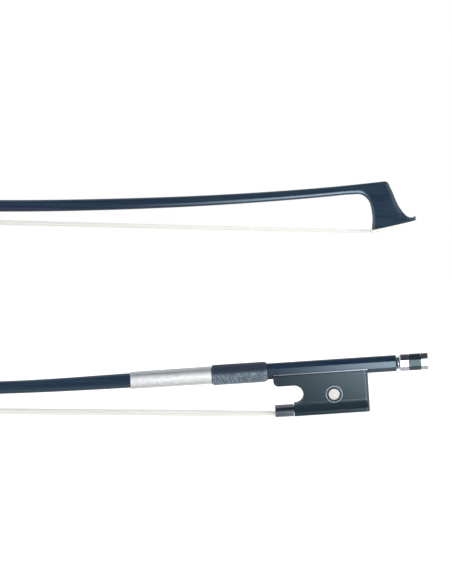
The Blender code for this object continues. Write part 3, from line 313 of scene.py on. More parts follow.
looks = {
    "carbon_stick": carbonLacquer(),
    "ebony": ebonyWood(),
    # nickel silver, turned and polished: bright and slightly cool, with hair-fine lines round it
    "nickel_silver": drawnMetal("polishedNickelSilver", ("#9a9ea3", "#b2b5b9"), (0.2, 0.32),
                                (2400, 260, 260)),
    # the same metal painted darker as shade where it sits in the frog and against the stick, and a little rougher
    "nickel_silver_shaded": drawnMetal("shadedNickelSilver", ("#6a7076", "#7e848a"), (0.26, 0.4),
                                     (2400, 260, 260)),
    # silver wire, drawn bright: each turn keeps a narrow highlight
    "silver_wire": drawnMetal("drawnSilverWire", ("#cfd1d3", "#e9eaea"), (0.34, 0.44), (500, 900, 900)),
    # brass, turned and left bare: warm and slightly dull
    "brass": drawnMetal("turnedBrass", ("#a9884a", "#c7a866"), (0.28, 0.4), (2000, 300, 300)),
    # steel, turned: grey with tool lines
    "screw_steel": drawnMetal("turnedSteel", ("#85878b", "#a3a5a8"), (0.28, 0.4), (2400, 200, 200)),
    "grip_leather": gripLeather(),
    "bow_hair": bowHair(),
    "pearl": motherOfPearl(),
    # bone, polished: warm white with faint streaks
    "bone": paleSolid("polishedBone", ("#e9e6dc", "#f4f2ec"), (0.26, 0.4), (120, 1200, 1200)),
    # maple, planed: light brown, straight grain, no finish
    "maple": paleSolid("planedMaple", ("#b99667", "#d2b487"), (0.54, 0.68), (140, 1600, 1600)),
    # hair ends bound with thread and set in rosin: dull amber ridges
    "bound_hair": paleSolid("rosinedThread", ("#8f7b52", "#b8a276"), (0.49, 0.63), (2600, 2600, 2600)),
}


def bakeModifiers(piece):
    # the evaluated shape becomes the piece's own plain mesh
    graph = bpy.context.evaluated_depsgraph_get()
    graph.update()
    shape = piece.evaluated_get(graph)
    mesh = bpy.data.meshes.new_from_object(shape, preserve_all_data_layers=True, depsgraph=graph)
    piece.modifiers.clear()
    piece.data = mesh


def inScene(name, data):
    thing = bpy.data.objects.new(name, data)
    bpy.context.scene.collection.objects.link(thing)
    return thing


def newPiece(name, vertices, faces):
    mesh = bpy.data.meshes.new(name)
    mesh.from_pydata(vertices, [], faces)
    return inScene(name, mesh)


flatLimit = 30000  # faces, past which a piece is all small round ones and needs no weighing


def dress(piece, slot, body, nodes, smooth=30, look=None):
    # finish, shading, the CAD nodes it stands for and the body it rides on
    piece.data.materials.clear()
    piece.data.materials.append(looks[look or slot])
    piece.data.shade_smooth()
    piece.data.set_sharp_from_angle(angle=math.radians(smooth))
    if len(piece.data.polygons) < flatLimit:
        # large faces stay flat and only the narrow ones round the edges turn the light
        weigh = piece.modifiers.new("weigh", "WEIGHTED_NORMAL")
        weigh.keep_sharp = True
        bakeModifiers(piece)
    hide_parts(*nodes)
    if body:
        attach(piece, body)
    return piece


def loft(rings, loop=False):
    count = len(rings[0])
    vertices = [tuple(point) for ring in rings for point in ring]
    faces = []
    for k in range(len(rings) if loop else len(rings) - 1):
        near, far = k * count, (k + 1) % len(rings) * count
        faces += [(near + i, near + (i + 1) % count, far + (i + 1) % count, far + i) for i in range(count)]
    if not loop:
        faces.append(tuple(reversed(range(count))))
        faces.append(tuple(range((len(rings) - 1) * count, len(rings) * count)))
    return vertices, faces


def outward(piece):
    bm = bmesh.new()
    bm.from_mesh(piece.data)
    bmesh.ops.recalc_face_normals(bm, faces=bm.faces)
    bm.to_mesh(piece.data)
    bm.free()


def roundEdges(piece, width, angle=30):
    bevel = piece.modifiers.new("edge", "BEVEL")
    bevel.width = width
    bevel.segments = 2
    bevel.limit_method = "ANGLE"
    bevel.angle_limit = math.radians(angle)
    bevel.use_clamp_overlap = True


def cutWith(piece, name, shape):
    tool = newPiece(name, *shape)
    outward(tool)
    cut = piece.modifiers.new(name, "BOOLEAN")
    cut.operation = "DIFFERENCE"
    cut.solver = "EXACT"
    cut.object = tool
    return tool


def mix(a, b, share):
    return a + (b - a) * share


print("stick")

stickSizes = {
    "flats": 7.5 * mm,  # of the octagonal handle
    "handle": 135 * mm,
    "octagon": 76 * mm,
    "runout": 9 * mm,
    "chamfer": 0.45 * mm,
    "diameters": [(0, 4.5), (0.1, 5.0), (0.2, 5.5), (0.3, 5.7), (0.9, 6.2), (1, 7.1)],
    "camber": [(0, 0), (0.1, -5.3), (0.2, -8.6), (0.3, -10.25), (0.6, -11.05), (0.9, -4.0), (1, 0)],
    "neckSlope": -0.127,
    "head": 35 * mm,
    "neckRise": 17.85 * mm,
    "stations": 120,
    "perRow": 6,  # rings from one row of the head to the next
    "frontStep": 9 * mm,  # between the handle's first rings
    "rearStations": (-55 * mm, -35 * mm, -15 * mm),
    "edge": 0.12 * mm,
}
# Slanting sections of the head: back and front (from the tip, above the wooden heel), half width, squareness
headSections = [
    (21.5, -0.25, 0.45, 4.62, 5.15, 1.00),
    (21.5, 0.35, 0.45, 5.40, 5.10, 1.00),
    (21.5, 0.75, 2.9, 5.30, 5.00, 1.00),
    (21.45, 1.25, 4.4, 5.75, 4.85, 1.00),
    (21.4, 2.05, 5.9, 6.95, 4.50, 1.00),
    (21.4, 3.05, 7.4, 8.75, 4.10, 1.00),
    (21.4, 4.45, 9.0, 11.05, 3.65, 1.00),
    (21.6, 6.15, 10.4, 13.85, 3.20, 1.00),
    (21.9, 8.15, 11.9, 17.25, 2.85, 1.00),
    (22.4, 10.35, 13.3, 20.05, 2.60, 1.00),
    (22.9, 11.95, 14.3, 21.95, 2.50, 1.00),
    (23.7, 13.40, 15.7, 22.60, 2.45, 0.90),
    (25.2, 14.90, 18.0, 22.35, 2.40, 0.75),
    (26.9, 15.85, 21.0, 21.95, 2.35, 0.50),
    (28.8, 16.10, 25.5, 21.35, 2.30, 0.25),
    (31.5, 15.85, 30.5, 20.70, 2.25, 0.05),
]
headCut = {"backChamfer": 1.3, "frontChamfer": 1.4, "ridge": 0.35, "cornerRound": 0.3, "beakShare": 0.3,
           "heel": 21.5, "beak": 0.45, "plateSlope": 13}

ringHalf = 24  # points on half a ring, so the octagon's corners fall on points
tipX = cadLow.x
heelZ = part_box("stick")[0].z
plateSlope = math.tan(math.radians(headCut["plateSlope"]))
heelX = tipX + headCut["heel"] * mm
beakX = tipX + headCut["beak"] * mm
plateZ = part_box("tip_plate")[0].z


def tipLine(x):
    # height of the underside of the tip plate
    return plateZ + (heelX - x) * plateSlope


def readCurve(points, x, firstSlope=None, lastSlope=None):
    k = max(i for i in range(len(points) - 1) if x >= points[i][0] or i == 0)
    span = points[k + 1][0] - points[k][0]

    def slope(i):
        if i == 0 and firstSlope is not None:
            return firstSlope
        if i == len(points) - 1 and lastSlope is not None:
            return lastSlope
        low, high = max(i - 1, 0), min(i + 1, len(points) - 1)
        return (points[high][1] - points[low][1]) / (points[high][0] - points[low][0])

    t = (x - points[k][0]) / span
    start = (2 * t**3 - 3 * t**2 + 1) * points[k][1] + (t**3 - 2 * t**2 + t) * span * slope(k)
    end = (3 * t**2 - 2 * t**3) * points[k + 1][1] + (t**3 - t**2) * span * slope(k + 1)
    return start + end


def headOutline(half, length):
    # half a section in mm as (from the back edge, across), with its corners slightly rounded
    back = min(headCut["backChamfer"], half * 0.5)
    front = headCut["frontChamfer"]
    ridge = headCut["ridge"]

    def cheek(along):
        return half * (1 - (1 - headCut["beakShare"]) * max(along, 0.0) ** 1.5)

    def corner(before, at, after):
        r = headCut["cornerRound"]
        a = at + (before - at).normalized() * min(r, (before - at).length * 0.45)
        b = at + (after - at).normalized() * min(r, (after - at).length * 0.45)
        return [a, (a + b) / 4 + at / 2, b]

    start = Vector((0, 0))
    c1 = Vector((0, half - back))
    c2 = Vector((back, cheek(back / length)))
    c3 = Vector((length - front, cheek(1 - front / length)))
    middle = Vector((length - front * 0.45, mix(c3.y, ridge, 0.5)))
    c4 = Vector((length, ridge))
    end = Vector((length, 0))
    side = []
    for k in range(1, 10):
        along = mix(back / length, 1 - front / length, k / 10)
        side.append(Vector((along * length, cheek(along))))
    points = [start, c1 / 2, *corner(start, c1, c2), *corner(c1, c2, side[0]), *side]
    return points + [*corner(side[-1], c3, middle), middle, *corner(middle, c4, end), end]


# The top of the beak is lifted, the more the nearer to its tip
beakRise = {"reach": 1.6 * mm, "start": 1.25 * mm, "blend": 0.5 * mm, "lift": 0.9 * mm}


def beakLift(x, z):
    reach = max(0.0, (beakX + beakRise["reach"] - x) / beakRise["reach"])
    height = max(0.0, z - tipLine(x) - beakRise["start"]) / beakRise["blend"]
    return beakRise["lift"] * reach**2 * min(height, 1.0)


def headRing(row):
    back = Vector((tipX + row[0] * mm, heelZ + row[1] * mm))
    front = Vector((tipX + row[2] * mm, heelZ + row[3] * mm))
    half, square = row[4], min(row[5], 1.0)
    length = (front - back).length / mm
    outline = headOutline(half, length)
    ring = []
    for k in range(2 * ringHalf):
        step = k if k <= ringHalf else 2 * ringHalf - k
        side = 1 if k <= ringHalf else -1
        angle = math.pi * step / ringHalf
        along = mix((1 - math.cos(angle)) / 2, outline[step].x / length, square)
        across = mix(half * math.sin(angle), outline[step].y, square) * mm
        spot = back.lerp(front, along)
        ring.append((spot.x, side * across, spot.y + beakLift(spot.x, spot.y)))
    return ring


def smoothRow(rows, place):
    # a row between two others on a smooth curve through all of them
    k = min(int(place), len(rows) - 2)
    t = place - k
    a, b, c, d = rows[max(k - 1, 0)], rows[k], rows[k + 1], rows[min(k + 2, len(rows) - 1)]
    result = []
    for p, q, r, s in zip(a, b, c, d):
        result.append(q + 0.5 * t * (r - p + t * (2 * p - 5 * q + 4 * r - s + t * (3 * (q - r) + s - p))))
    return result


neckX = tipX + stickSizes["head"]
neckZ = heelZ + stickSizes["neckRise"]
cambered = handleMatrix @ Vector((-stickSizes["handle"], 0, 0))
freeLength = cambered.x - neckX
chordRise = cambered.z - neckZ


def stickAxis(share):
    depth = [(s, d * mm) for s, d in stickSizes["camber"]]
    first = stickSizes["neckSlope"] * freeLength - chordRise
    last = math.tan(handleTilt) * freeLength - chordRise
    return neckZ + chordRise * share + readCurve(depth, share, first, last)


def shaftRing(share):
    step = 0.001
    tilt = math.atan((stickAxis(share + step) - stickAxis(share)) / (step * freeLength))
    radius = readCurve(stickSizes["diameters"], share) / 2 * mm
    x, z = neckX + freeLength * share, stickAxis(share)
    ring = []
    for k in range(2 * ringHalf):
        angle = math.pi * k / ringHalf
        low = radius * math.cos(angle)
        ring.append((x + low * math.sin(tilt), radius * math.sin(angle), z - low * math.cos(tilt)))
    return ring


def handleReach(u, angle, grow=0.0):
    # distance of the handle's surface from its axis: octagonal at the rear, round in front
    apothem = stickSizes["flats"] / 2
    octagon, runout = stickSizes["octagon"], stickSizes["runout"]
    roundness = min(max((-u - octagon) / runout, 0.0), 1.0)
    front = stickSizes["diameters"][-1][1] / 2 * mm
    share = (u + stickSizes["handle"]) / (stickSizes["handle"] - octagon - runout)
    radius = mix(front, apothem, min(max(share, 0.0), 1.0))
    turn = (angle + math.pi / 8) % (math.pi / 4) - math.pi / 8
    return mix((apothem + grow) / math.cos(turn), radius + grow, roundness)


def onHandle(u, angle, reach):
    # a point by its place along the handle, the turn from its underside and the distance from its axis
    return handleMatrix @ Vector((u, reach * math.sin(angle), -reach * math.cos(angle)))


def handleRing(u, grow=0.0):
    angles = [math.pi * k / ringHalf for k in range(2 * ringHalf)]
    return [onHandle(u, angle, handleReach(u, angle, grow)) for angle in angles]


def alongHandle(sections):
    # boxes or rods given as (u, half width, low w, high w)
    rings = []
    for u, half, low, high in sections:
        corners = [(-half, low), (half, low), (half, high), (-half, high)]
        rings.append([handleMatrix @ Vector((u, y, w)) for y, w in corners])
    return loft(rings)


def rod(profile, points=24):
    rings = []
    for u, radius in profile:
        angles = [2 * math.pi * k / points for k in range(points)]
        rings.append([handleMatrix @ Vector((u, radius * math.cos(a), radius * math.sin(a))) for a in angles])
    return loft(rings)


# Mortise for the hair in the head, which the facings are open to as well
mortise = {"setback": 3.2 * mm, "length": 6 * mm, "depth": 6.5 * mm, "half": 3.3 * mm, "flare": 0.2 * mm,
           "taper": 0.7 * mm}


def mortiseShape():
    rear = heelX - mortise["setback"]
    front = rear - mortise["length"]
    rings = []
    for z, y in ((tipLine(rear) - mm, mortise["half"] + mortise["flare"]),
                 (heelZ + mortise["depth"], mortise["half"] - mortise["taper"])):
        rings.append([(front, -y, z), (rear, -y, z), (rear, y, z), (front, y, z)])
    return loft(rings)


# Slot for the eyelet's travel and stepped bore for the screw and its spigot
boring = {"ahead": 3 * mm, "behind": 7 * mm, "half": 2.4 * mm, "deep": 8 * mm, "play": 0.3 * mm,
          "spigot": 1.15 * mm, "screw": 1.55 * mm}


def makeStick():
    rows, fine = headSections[1:], stickSizes["perRow"]
    rings = [headRing(headSections[0])]
    rings += [headRing(smoothRow(rows, k / fine)) for k in range(fine * (len(rows) - 1) + 1)]
    rings += [shaftRing(k / stickSizes["stations"]) for k in range(stickSizes["stations"])]
    octagon, runout, chamfer = stickSizes["octagon"], stickSizes["runout"], stickSizes["chamfer"]
    stations = [-stickSizes["handle"] + stickSizes["frontStep"] * k for k in range(5)]
    stations += [-octagon - runout * k / 6 for k in range(6, -1, -1)]
    stations += [*stickSizes["rearStations"], -chamfer]
    rings += [handleRing(u) for u in stations] + [handleRing(0.0, -chamfer)]
    stick = newPiece("stickShaft", *loft(rings))
    outward(stick)
    roundEdges(stick, stickSizes["edge"])
    eyeletFront, eyeletRear = handleSpan("frog_eyelet")
    slotFront, slotRear = eyeletFront - boring["ahead"], eyeletRear + boring["behind"]
    slot = alongHandle([(u, boring["half"], -boring["deep"], boring["half"]) for u in (slotFront, slotRear)])
    shoulder = slotFront + boring["play"]
    screwFront = handleSpan("adjuster_screw")[0] - boring["play"]
    bore = rod([(screwFront, boring["spigot"]), (shoulder, boring["spigot"]), (shoulder, boring["screw"]),
                (mm, boring["screw"])])
    tools = []
    for name, shape in (("slotTool", slot), ("boreTool", bore), ("mortiseTool", mortiseShape())):
        tools.append(cutWith(stick, name, shape))
    bakeModifiers(stick)
    for tool in tools:
        bpy.data.objects.remove(tool)
    return dress(stick, "carbon_stick", "stick", ["stick"], 40)


stickShaft = makeStick()

print("head facings")

facing = {"half": 5.15, "plate": 0.70 * mm, "linerLow": 0.72 * mm, "linerHigh": 1.48 * mm, "tip": 0.62 * mm,
          "nose": 0.9 * mm, "noseWall": 0.35 * mm, "noseSteps": 6, "plateEdge": 0.1 * mm,
          "linerEdge": 0.04 * mm}


def facingStations():
    # the head's own outline from its heel corner to the beak: place and half width
    outline = headOutline(facing["half"], (heelX - beakX) / mm)
    return [(heelX, outline[4].y)] + [(heelX - p.x * mm, p.y) for p in outline[5:18]]


def facingRing(x, y, low, high):
    z = tipLine(x)
    return [(x, -y, z + low), (x, y, z + low), (x, y, z + high), (x, -y, z + high)]


def makeFacing(name, low, high, slot, node, nose):
    rings = [facingRing(x, y * mm, low, high) for x, y in facingStations()]
    tip, steps = facing["tip"], facing["noseSteps"]
    if nose:
        # the plate turns up over the front of the beak and thins out to a rounded edge
        inner = tipX + facing["noseWall"]
        rings.append(facingRing(inner + 0.35 * mm, tip * 1.25, low, high))
        for k in range(steps + 1):
            turn = math.pi / 2 * k / steps
            x = inner - (inner - tipX) * math.sin(turn) * 0.55
            rise = facing["nose"] * (1 - math.cos(turn))
            rings.append(facingRing(x, tip, low + 0.25 * mm * math.sin(turn), high + rise))
        rings.append(facingRing(tipX, tip * 0.8, low + 0.7 * mm, high + facing["nose"]))
    else:
        rings.append(facingRing(beakX, tip, low, high))
    piece = newPiece(name, *loft(rings))
    outward(piece)
    roundEdges(piece, facing["plateEdge"] if nose else facing["linerEdge"])
    tool = cutWith(piece, name + "Tool", mortiseShape())
    bakeModifiers(piece)
    bpy.data.objects.remove(tool)
    return dress(piece, slot, "stick", [node], 35)


headLiner = makeFacing("headLiner", facing["linerLow"], facing["linerHigh"], "ebony", "head_liner", False)
tipPlate = makeFacing("tipPlate", 0.0, facing["plate"], "bone", "tip_plate", True)

print("hair")

hairSizes = {"across": 42, "layers": 4, "radius": 0.095 * mm, "thickness": 0.72 * mm, "jitter": 0.08 * mm,
             "seed": 7, "sides": 5, "loose": (0.5, 1.5), "half": 0.35 * mm, "clear": 0.25 * mm,
             "shares": (0.08, 0.17, 0.25, 0.33, 0.42, 0.5, 0.58, 0.67, 0.75, 0.83, 0.92, 0.955, 0.985)}


def bindInput(modifier, name, value):
    # a modifier's input is set by its socket's identifier
    for socket in modifier.node_group.interface.items_tree:
        if socket.name == name and socket.in_out == "INPUT":
            modifier[socket.identifier] = value


def newTree(name, inputs):
    tree = bpy.data.node_groups.new(name, "GeometryNodeTree")
    tree.interface.new_socket("Geometry", in_out="OUTPUT", socket_type="NodeSocketGeometry")
    tree.interface.new_socket("Geometry", in_out="INPUT", socket_type="NodeSocketGeometry")
    for label, kind in inputs:
        tree.interface.new_socket(label, in_out="INPUT", socket_type=kind)
    return tree, tree.nodes.new("NodeGroupInput").outputs, tree.nodes.new("NodeGroupOutput").inputs


def hairTree():
    # one path is laid side by side and in layers, each copy a thin round strand
    tree, given, result = newTree("hairRibbon", [
        ("Across", "NodeSocketInt"), ("Layers", "NodeSocketInt"), ("Strand Radius", "NodeSocketFloat"),
        ("Thickness", "NodeSocketFloat"), ("Jitter", "NodeSocketFloat"), ("Seed", "NodeSocketInt"),
        ("Material", "NodeSocketMaterial"),
    ])
    known = {name: given[name] for name in ("Across", "Layers", "Thickness", "Jitter", "Seed")}
    for name, kind in (("strand", "FLOAT"), ("halfWidth", "FLOAT"), ("lift", "FLOAT_VECTOR")):
        known[name] = addNode(tree, "GeometryNodeInputNamedAttribute", {"data_type": kind, "Name": name})
    for k, name in enumerate(("shakeSide", "shakeRise")):
        seed = addNode(tree, "ShaderNodeMath", {"operation": "ADD"}, {0: known["Seed"], 1: k})
        known[name] = addNode(tree, "FunctionNodeRandomValue", {"data_type": "FLOAT", 2: -1.0, 3: 1.0}, {
            "ID": known["strand"], "Seed": seed,
        }).outputs[1]
    # each row is a new value, what is done, and the two values or numbers it is done to
    for name, operation, first, second in (
        ("count", "MULTIPLY", "Across", "Layers"),
        ("column", "MODULO", "strand", "Across"),
        ("columnMiddle", "ADD", "column", 0.5),
        ("halfCount", "MULTIPLY", "Across", 0.5),
        ("columnShare", "DIVIDE", "columnMiddle", "halfCount"),
        ("across", "SUBTRACT", "columnShare", 1.0),
        ("row", "DIVIDE", "strand", "Across"),
        ("layer", "FLOOR", "row", 0.0),
        ("layerMiddle", "ADD", "layer", 0.5),
        ("layerShare", "DIVIDE", "layerMiddle", "Layers"),
        ("level", "SUBTRACT", "layerShare", 0.5),
        ("spread", "MULTIPLY", "across", "halfWidth"),
        ("jitterSide", "MULTIPLY", "shakeSide", "Jitter"),
        ("side", "ADD", "spread", "jitterSide"),
        ("stack", "MULTIPLY", "level", "Thickness"),
        ("jitterRise", "MULTIPLY", "shakeRise", "Jitter"),
        ("rise", "ADD", "stack", "jitterRise"),
    ):
        terms = {0: known.get(first, first), 1: known.get(second, second)}
        known[name] = addNode(tree, "ShaderNodeMath", {"operation": operation}, terms)

    path = addNode(tree, "GeometryNodeMeshToCurve", links={"Mesh": given["Geometry"]})
    points = addNode(tree, "GeometryNodePoints", links={"Count": known["count"]})
    copies = addNode(tree, "GeometryNodeInstanceOnPoints", links={
        "Points": points, "Instance": path,
    })
    index = addNode(tree, "GeometryNodeInputIndex")
    named = addNode(tree, "GeometryNodeStoreNamedAttribute", {
        "data_type": "FLOAT", "domain": "INSTANCE", "Name": "strand",
    }, {"Geometry": copies, "Value": index})
    real = addNode(tree, "GeometryNodeRealizeInstances", links={"Geometry": named})
    sideways = addNode(tree, "ShaderNodeCombineXYZ", links={"Y": known["side"]})
    upward = addNode(tree, "ShaderNodeVectorMath", {"operation": "SCALE"}, {
        0: known["lift"], "Scale": known["rise"],
    })
    offset = addNode(tree, "ShaderNodeVectorMath", {"operation": "ADD"}, {0: sideways, 1: upward})
    moved = addNode(tree, "GeometryNodeSetPosition", links={"Geometry": real, "Offset": offset})
    profile = addNode(tree, "GeometryNodeCurvePrimitiveCircle", {"Resolution": hairSizes["sides"]}, {
        "Radius": given["Strand Radius"],
    })
    tubes = addNode(tree, "GeometryNodeCurveToMesh", {"Fill Caps": True}, {
        "Curve": moved, "Profile Curve": profile,
    })
    whole = addNode(tree, "GeometryNodeRealizeInstances", links={"Geometry": tubes})
    painted = addNode(tree, "GeometryNodeSetMaterial", links={
        "Geometry": whole, "Material": given["Material"],
    })
    tree.links.new(painted.outputs[0], result["Geometry"])
    return tree


def hairLevel():
    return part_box("hair_ribbon")[0].z + hairSizes["half"]


def hairPath():
    # stations down the middle of the ribbon: place, half width, and the side that faces the wood
    wall = heelX - mortise["setback"] - hairSizes["clear"]
    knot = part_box("tip_hair_knot")[0].z
    slope = math.atan(plateSlope)
    slopeUp = (math.sin(slope), 0, math.cos(slope))
    under = hairSizes["clear"] + hairSizes["half"]
    ferruleFront, ferruleRear = handleSpan("ferrule")
    hairRear = handleSpan("hair_ribbon")[1]
    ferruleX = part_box("ferrule")[0].x
    levelZ = hairLevel()
    stations = []
    # down from the knot by the mortise's rear wall, round its edge and back under the plate
    for x, z, half, side in (
        (wall - 0.35 * mm, knot - 0.05 * mm, 2.2, (1, 0, 0)),
        (wall - 0.35 * mm, heelZ, 2.5, (1, 0, 0)),
        (wall - 0.3 * mm, tipLine(wall) + 0.1 * mm, 2.8, (1, 0, 0.35)),
        (wall - 0.1 * mm, tipLine(wall) - 0.4 * mm, 3.0, (1, 0, 1)),
        (wall + 0.4 * mm, tipLine(wall + 0.4 * mm) - under, 3.3, slopeUp),
        (heelX - 1.2 * mm, tipLine(heelX - 1.2 * mm) - under, 4.1, slopeUp),
        (heelX - 0.3 * mm, tipLine(heelX - 0.3 * mm) - under, 4.25, slopeUp),
        (heelX + 1.2 * mm, levelZ, 4.3, (0, 0, 1)),
    ):
        stations.append((Vector((x, 0, z)), half * mm, Vector(side).normalized()))
    # level to the ferrule, where the layers stand apart more and more and close again at its mouth
    up = Vector((0, 0, 1))
    for share in hairSizes["shares"]:
        x = mix(heelX + 1.2 * mm, ferruleX - 1.2 * mm, share)
        loose = 1 + mix(*hairSizes["loose"], share) * min(1.0, 20 * (1 - share), 4 * share)
        stations.append((Vector((x, 0, levelZ)), mix(4.3, 5.3, share) * mm, up * loose))
    stations.append((Vector((ferruleX - 1.2 * mm, 0, levelZ)), 5.3 * mm, up))
    # through the ferrule and up to the knot in the frog
    flat = heightSpan("ferrule")[0] + 1.1 * mm
    rise = heightSpan("slide_backing")[1] + under
    top = heightSpan("hair_ribbon", hairRear - mm)[1] - 0.05 * mm
    for u, w, half, side in (
        (ferruleFront + 0.8 * mm, flat, 5.3, (0, 0, 1)),
        (ferruleFront + 4.3 * mm, flat, 5.2, (0, 0, 1)),
        (ferruleRear - 0.6 * mm, rise, 4.4, (0, 0, 1)),
        (hairRear - 1.2 * mm, rise, 3.0, (0, 0, 1)),
        (hairRear - 0.45 * mm, rise + 0.3 * mm, 3.0, (-0.7, 0, 0.7)),
        (hairRear - 0.35 * mm, top, 3.0, (-1, 0, 0)),
    ):
        toWood = (handleMatrix.to_3x3() @ Vector(side)).normalized()
        stations.append((handleMatrix @ Vector((u, 0, w)), half * mm, toWood))
    return stations


def makeHair():
    stations = hairPath()
    mesh = bpy.data.meshes.new("hairGuide")
    mesh.from_pydata([s[0] for s in stations], [(k, k + 1) for k in range(len(stations) - 1)], [])
    widths = mesh.attributes.new("halfWidth", "FLOAT", "POINT")
    lifts = mesh.attributes.new("lift", "FLOAT_VECTOR", "POINT")
    for k, (_, half, lift) in enumerate(stations):
        widths.data[k].value = half
        lifts.data[k].vector = lift
    piece = inScene("hairRibbon", mesh)
    lay = piece.modifiers.new("strands", "NODES")
    lay.node_group = hairTree()
    for name, key in (("Across", "across"), ("Layers", "layers"), ("Strand Radius", "radius"),
                      ("Thickness", "thickness"), ("Jitter", "jitter"), ("Seed", "seed")):
        bindInput(lay, name, hairSizes[key])
    bindInput(lay, "Material", looks["bow_hair"])
    bakeModifiers(piece)
    dress(piece, "bow_hair", None, ["hair_ribbon"], 60)
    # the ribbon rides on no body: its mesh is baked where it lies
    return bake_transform(piece)


hairRibbon = makeHair()

print("winding")

windingSizes = {"wire": 0.27 * mm, "flat": 0.55, "outer": 0.6 * mm, "gap": 0.05 * mm, "bed": 0.03 * mm,
                "points": 28, "sides": 8}


def coilTree():
    tree, given, result = newTree("wireCoil", [
        ("Turns", "NodeSocketFloat"), ("Points", "NodeSocketInt"), ("Front Radius", "NodeSocketFloat"),
        ("Rear Radius", "NodeSocketFloat"), ("Length", "NodeSocketFloat"), ("Wire Radius", "NodeSocketFloat"),
        ("Flatness", "NodeSocketVector"), ("Sides", "NodeSocketInt"), ("Material", "NodeSocketMaterial"),
    ])
    spiral = addNode(tree, "GeometryNodeCurveSpiral", links={
        "Resolution": given["Points"], "Rotations": given["Turns"], "Start Radius": given["Front Radius"],
        "End Radius": given["Rear Radius"], "Height": given["Length"],
    })
    upright = addNode(tree, "GeometryNodeSetCurveNormal", {"mode": "Z_UP"}, {"Curve": spiral})
    circle = addNode(tree, "GeometryNodeCurvePrimitiveCircle", links={
        "Resolution": given["Sides"], "Radius": given["Wire Radius"],
    })
    profile = addNode(tree, "GeometryNodeTransform", links={
        "Geometry": circle, "Scale": given["Flatness"],
    })
    wire = addNode(tree, "GeometryNodeCurveToMesh", {"Fill Caps": True}, {
        "Curve": upright, "Profile Curve": profile,
    })
    whole = addNode(tree, "GeometryNodeRealizeInstances", links={"Geometry": wire})
    painted = addNode(tree, "GeometryNodeSetMaterial", links={
        "Geometry": whole, "Material": given["Material"],
    })
    tree.links.new(painted.outputs[0], result["Geometry"])
    return tree


def makeWinding():
    front = handleSpan("wire_winding")[0]
    rear = handleSpan("leather_grip")[0] - windingSizes["gap"]
    wire, flat = windingSizes["wire"], windingSizes["flat"]
    lift = windingSizes["outer"] - wire / 2 * flat
    piece = newPiece("wireWinding", [], [])
    coil = piece.modifiers.new("coil", "NODES")
    coil.node_group = coilTree()
    length = rear - front - wire
    values = {
        "Turns": length / wire, "Points": windingSizes["points"], "Length": length, "Wire Radius": wire / 2,
        "Front Radius": handleReach(front, 0) + lift, "Rear Radius": handleReach(rear, 0) + lift,
        "Flatness": (flat, 1, 1), "Sides": windingSizes["sides"], "Material": looks["silver_wire"],
    }
    for name, value in values.items():
        bindInput(coil, name, value)
    bakeModifiers(piece)
    # the spiral climbs along Z, so it is laid over to run along the handle
    laid = Matrix.Translation((front + wire / 2, 0, 0)) @ Matrix.Rotation(math.pi / 2, 4, "Y")
    piece.data.transform(handleMatrix @ laid)
    dress(piece, "silver_wire", "stick", ["wire_winding"], 60)
    # linen bed under the wire, which shows only as a thin rim at each end
    first, last, thin = front + wire / 2, rear - wire, windingSizes["bed"]
    rings = [handleRing(u, grow) for u, grow in ((first, thin), (last, thin), (last, lift), (first, lift))]
    bed = newPiece("windingBed", *loft(rings, loop=True))
    outward(bed)
    return dress(bed, "bound_hair", "stick", ["wire_winding"], 40)


makeWinding()

print("leather")

leatherSizes = {"radius": 4.85 * mm, "frontRound": 0.9 * mm, "rearTaper": 2.0 * mm, "rearDrop": 0.75,
                "lip": 0.3 * mm, "bore": 0.04 * mm, "lap": 0.2 * mm, "lapTurn": 16, "pucker": 0.035 * mm,
                "puckerAlong": 900, "puckerAround": 4.4, "around": 160, "along": 96, "inside": 8}


def makeLeather():
    # a wrapped strip of leather: lapped under the stick, drawn down at both ends, a little uneven
    front, rear = handleSpan("leather_grip")
    size = leatherSizes
    angles = [2 * math.pi * i / size["around"] for i in range(size["around"])]
    rings = []
    for k in range(size["along"] + 1):
        u = mix(front, rear, k / size["along"])
        fromFront = min((u - front) / size["frontRound"], 1.0)
        fromRear = min((rear - u) / size["rearTaper"], 1.0)
        full = math.sqrt(max(1 - (1 - fromFront) ** 2, 0)) * (1 - (1 - fromRear) ** 2 * size["rearDrop"])
        ring = []
        for angle in angles:
            inner = handleReach(u, angle) + size["lip"]
            reach = mix(inner, max(size["radius"], inner), full)
            reach += size["lap"] * math.exp(-angle / math.radians(size["lapTurn"])) * full
            wide = size["puckerAround"]
            spot = Vector((u * size["puckerAlong"], math.cos(angle) * wide, math.sin(angle) * wide))
            reach += size["pucker"] * noise.noise(spot) * full
            ring.append(onHandle(u, angle, reach))
        rings.append(ring)
    for k in range(size["inside"] + 1):
        u = mix(rear, front, k / size["inside"])
        rings.append([onHandle(u, angle, handleReach(u, angle) + size["bore"]) for angle in angles])
    piece = newPiece("leatherGrip", *loft(rings, loop=True))
    outward(piece)
    return dress(piece, "grip_leather", "stick", ["leather_grip"], 50)


makeLeather()

print("frog and button")

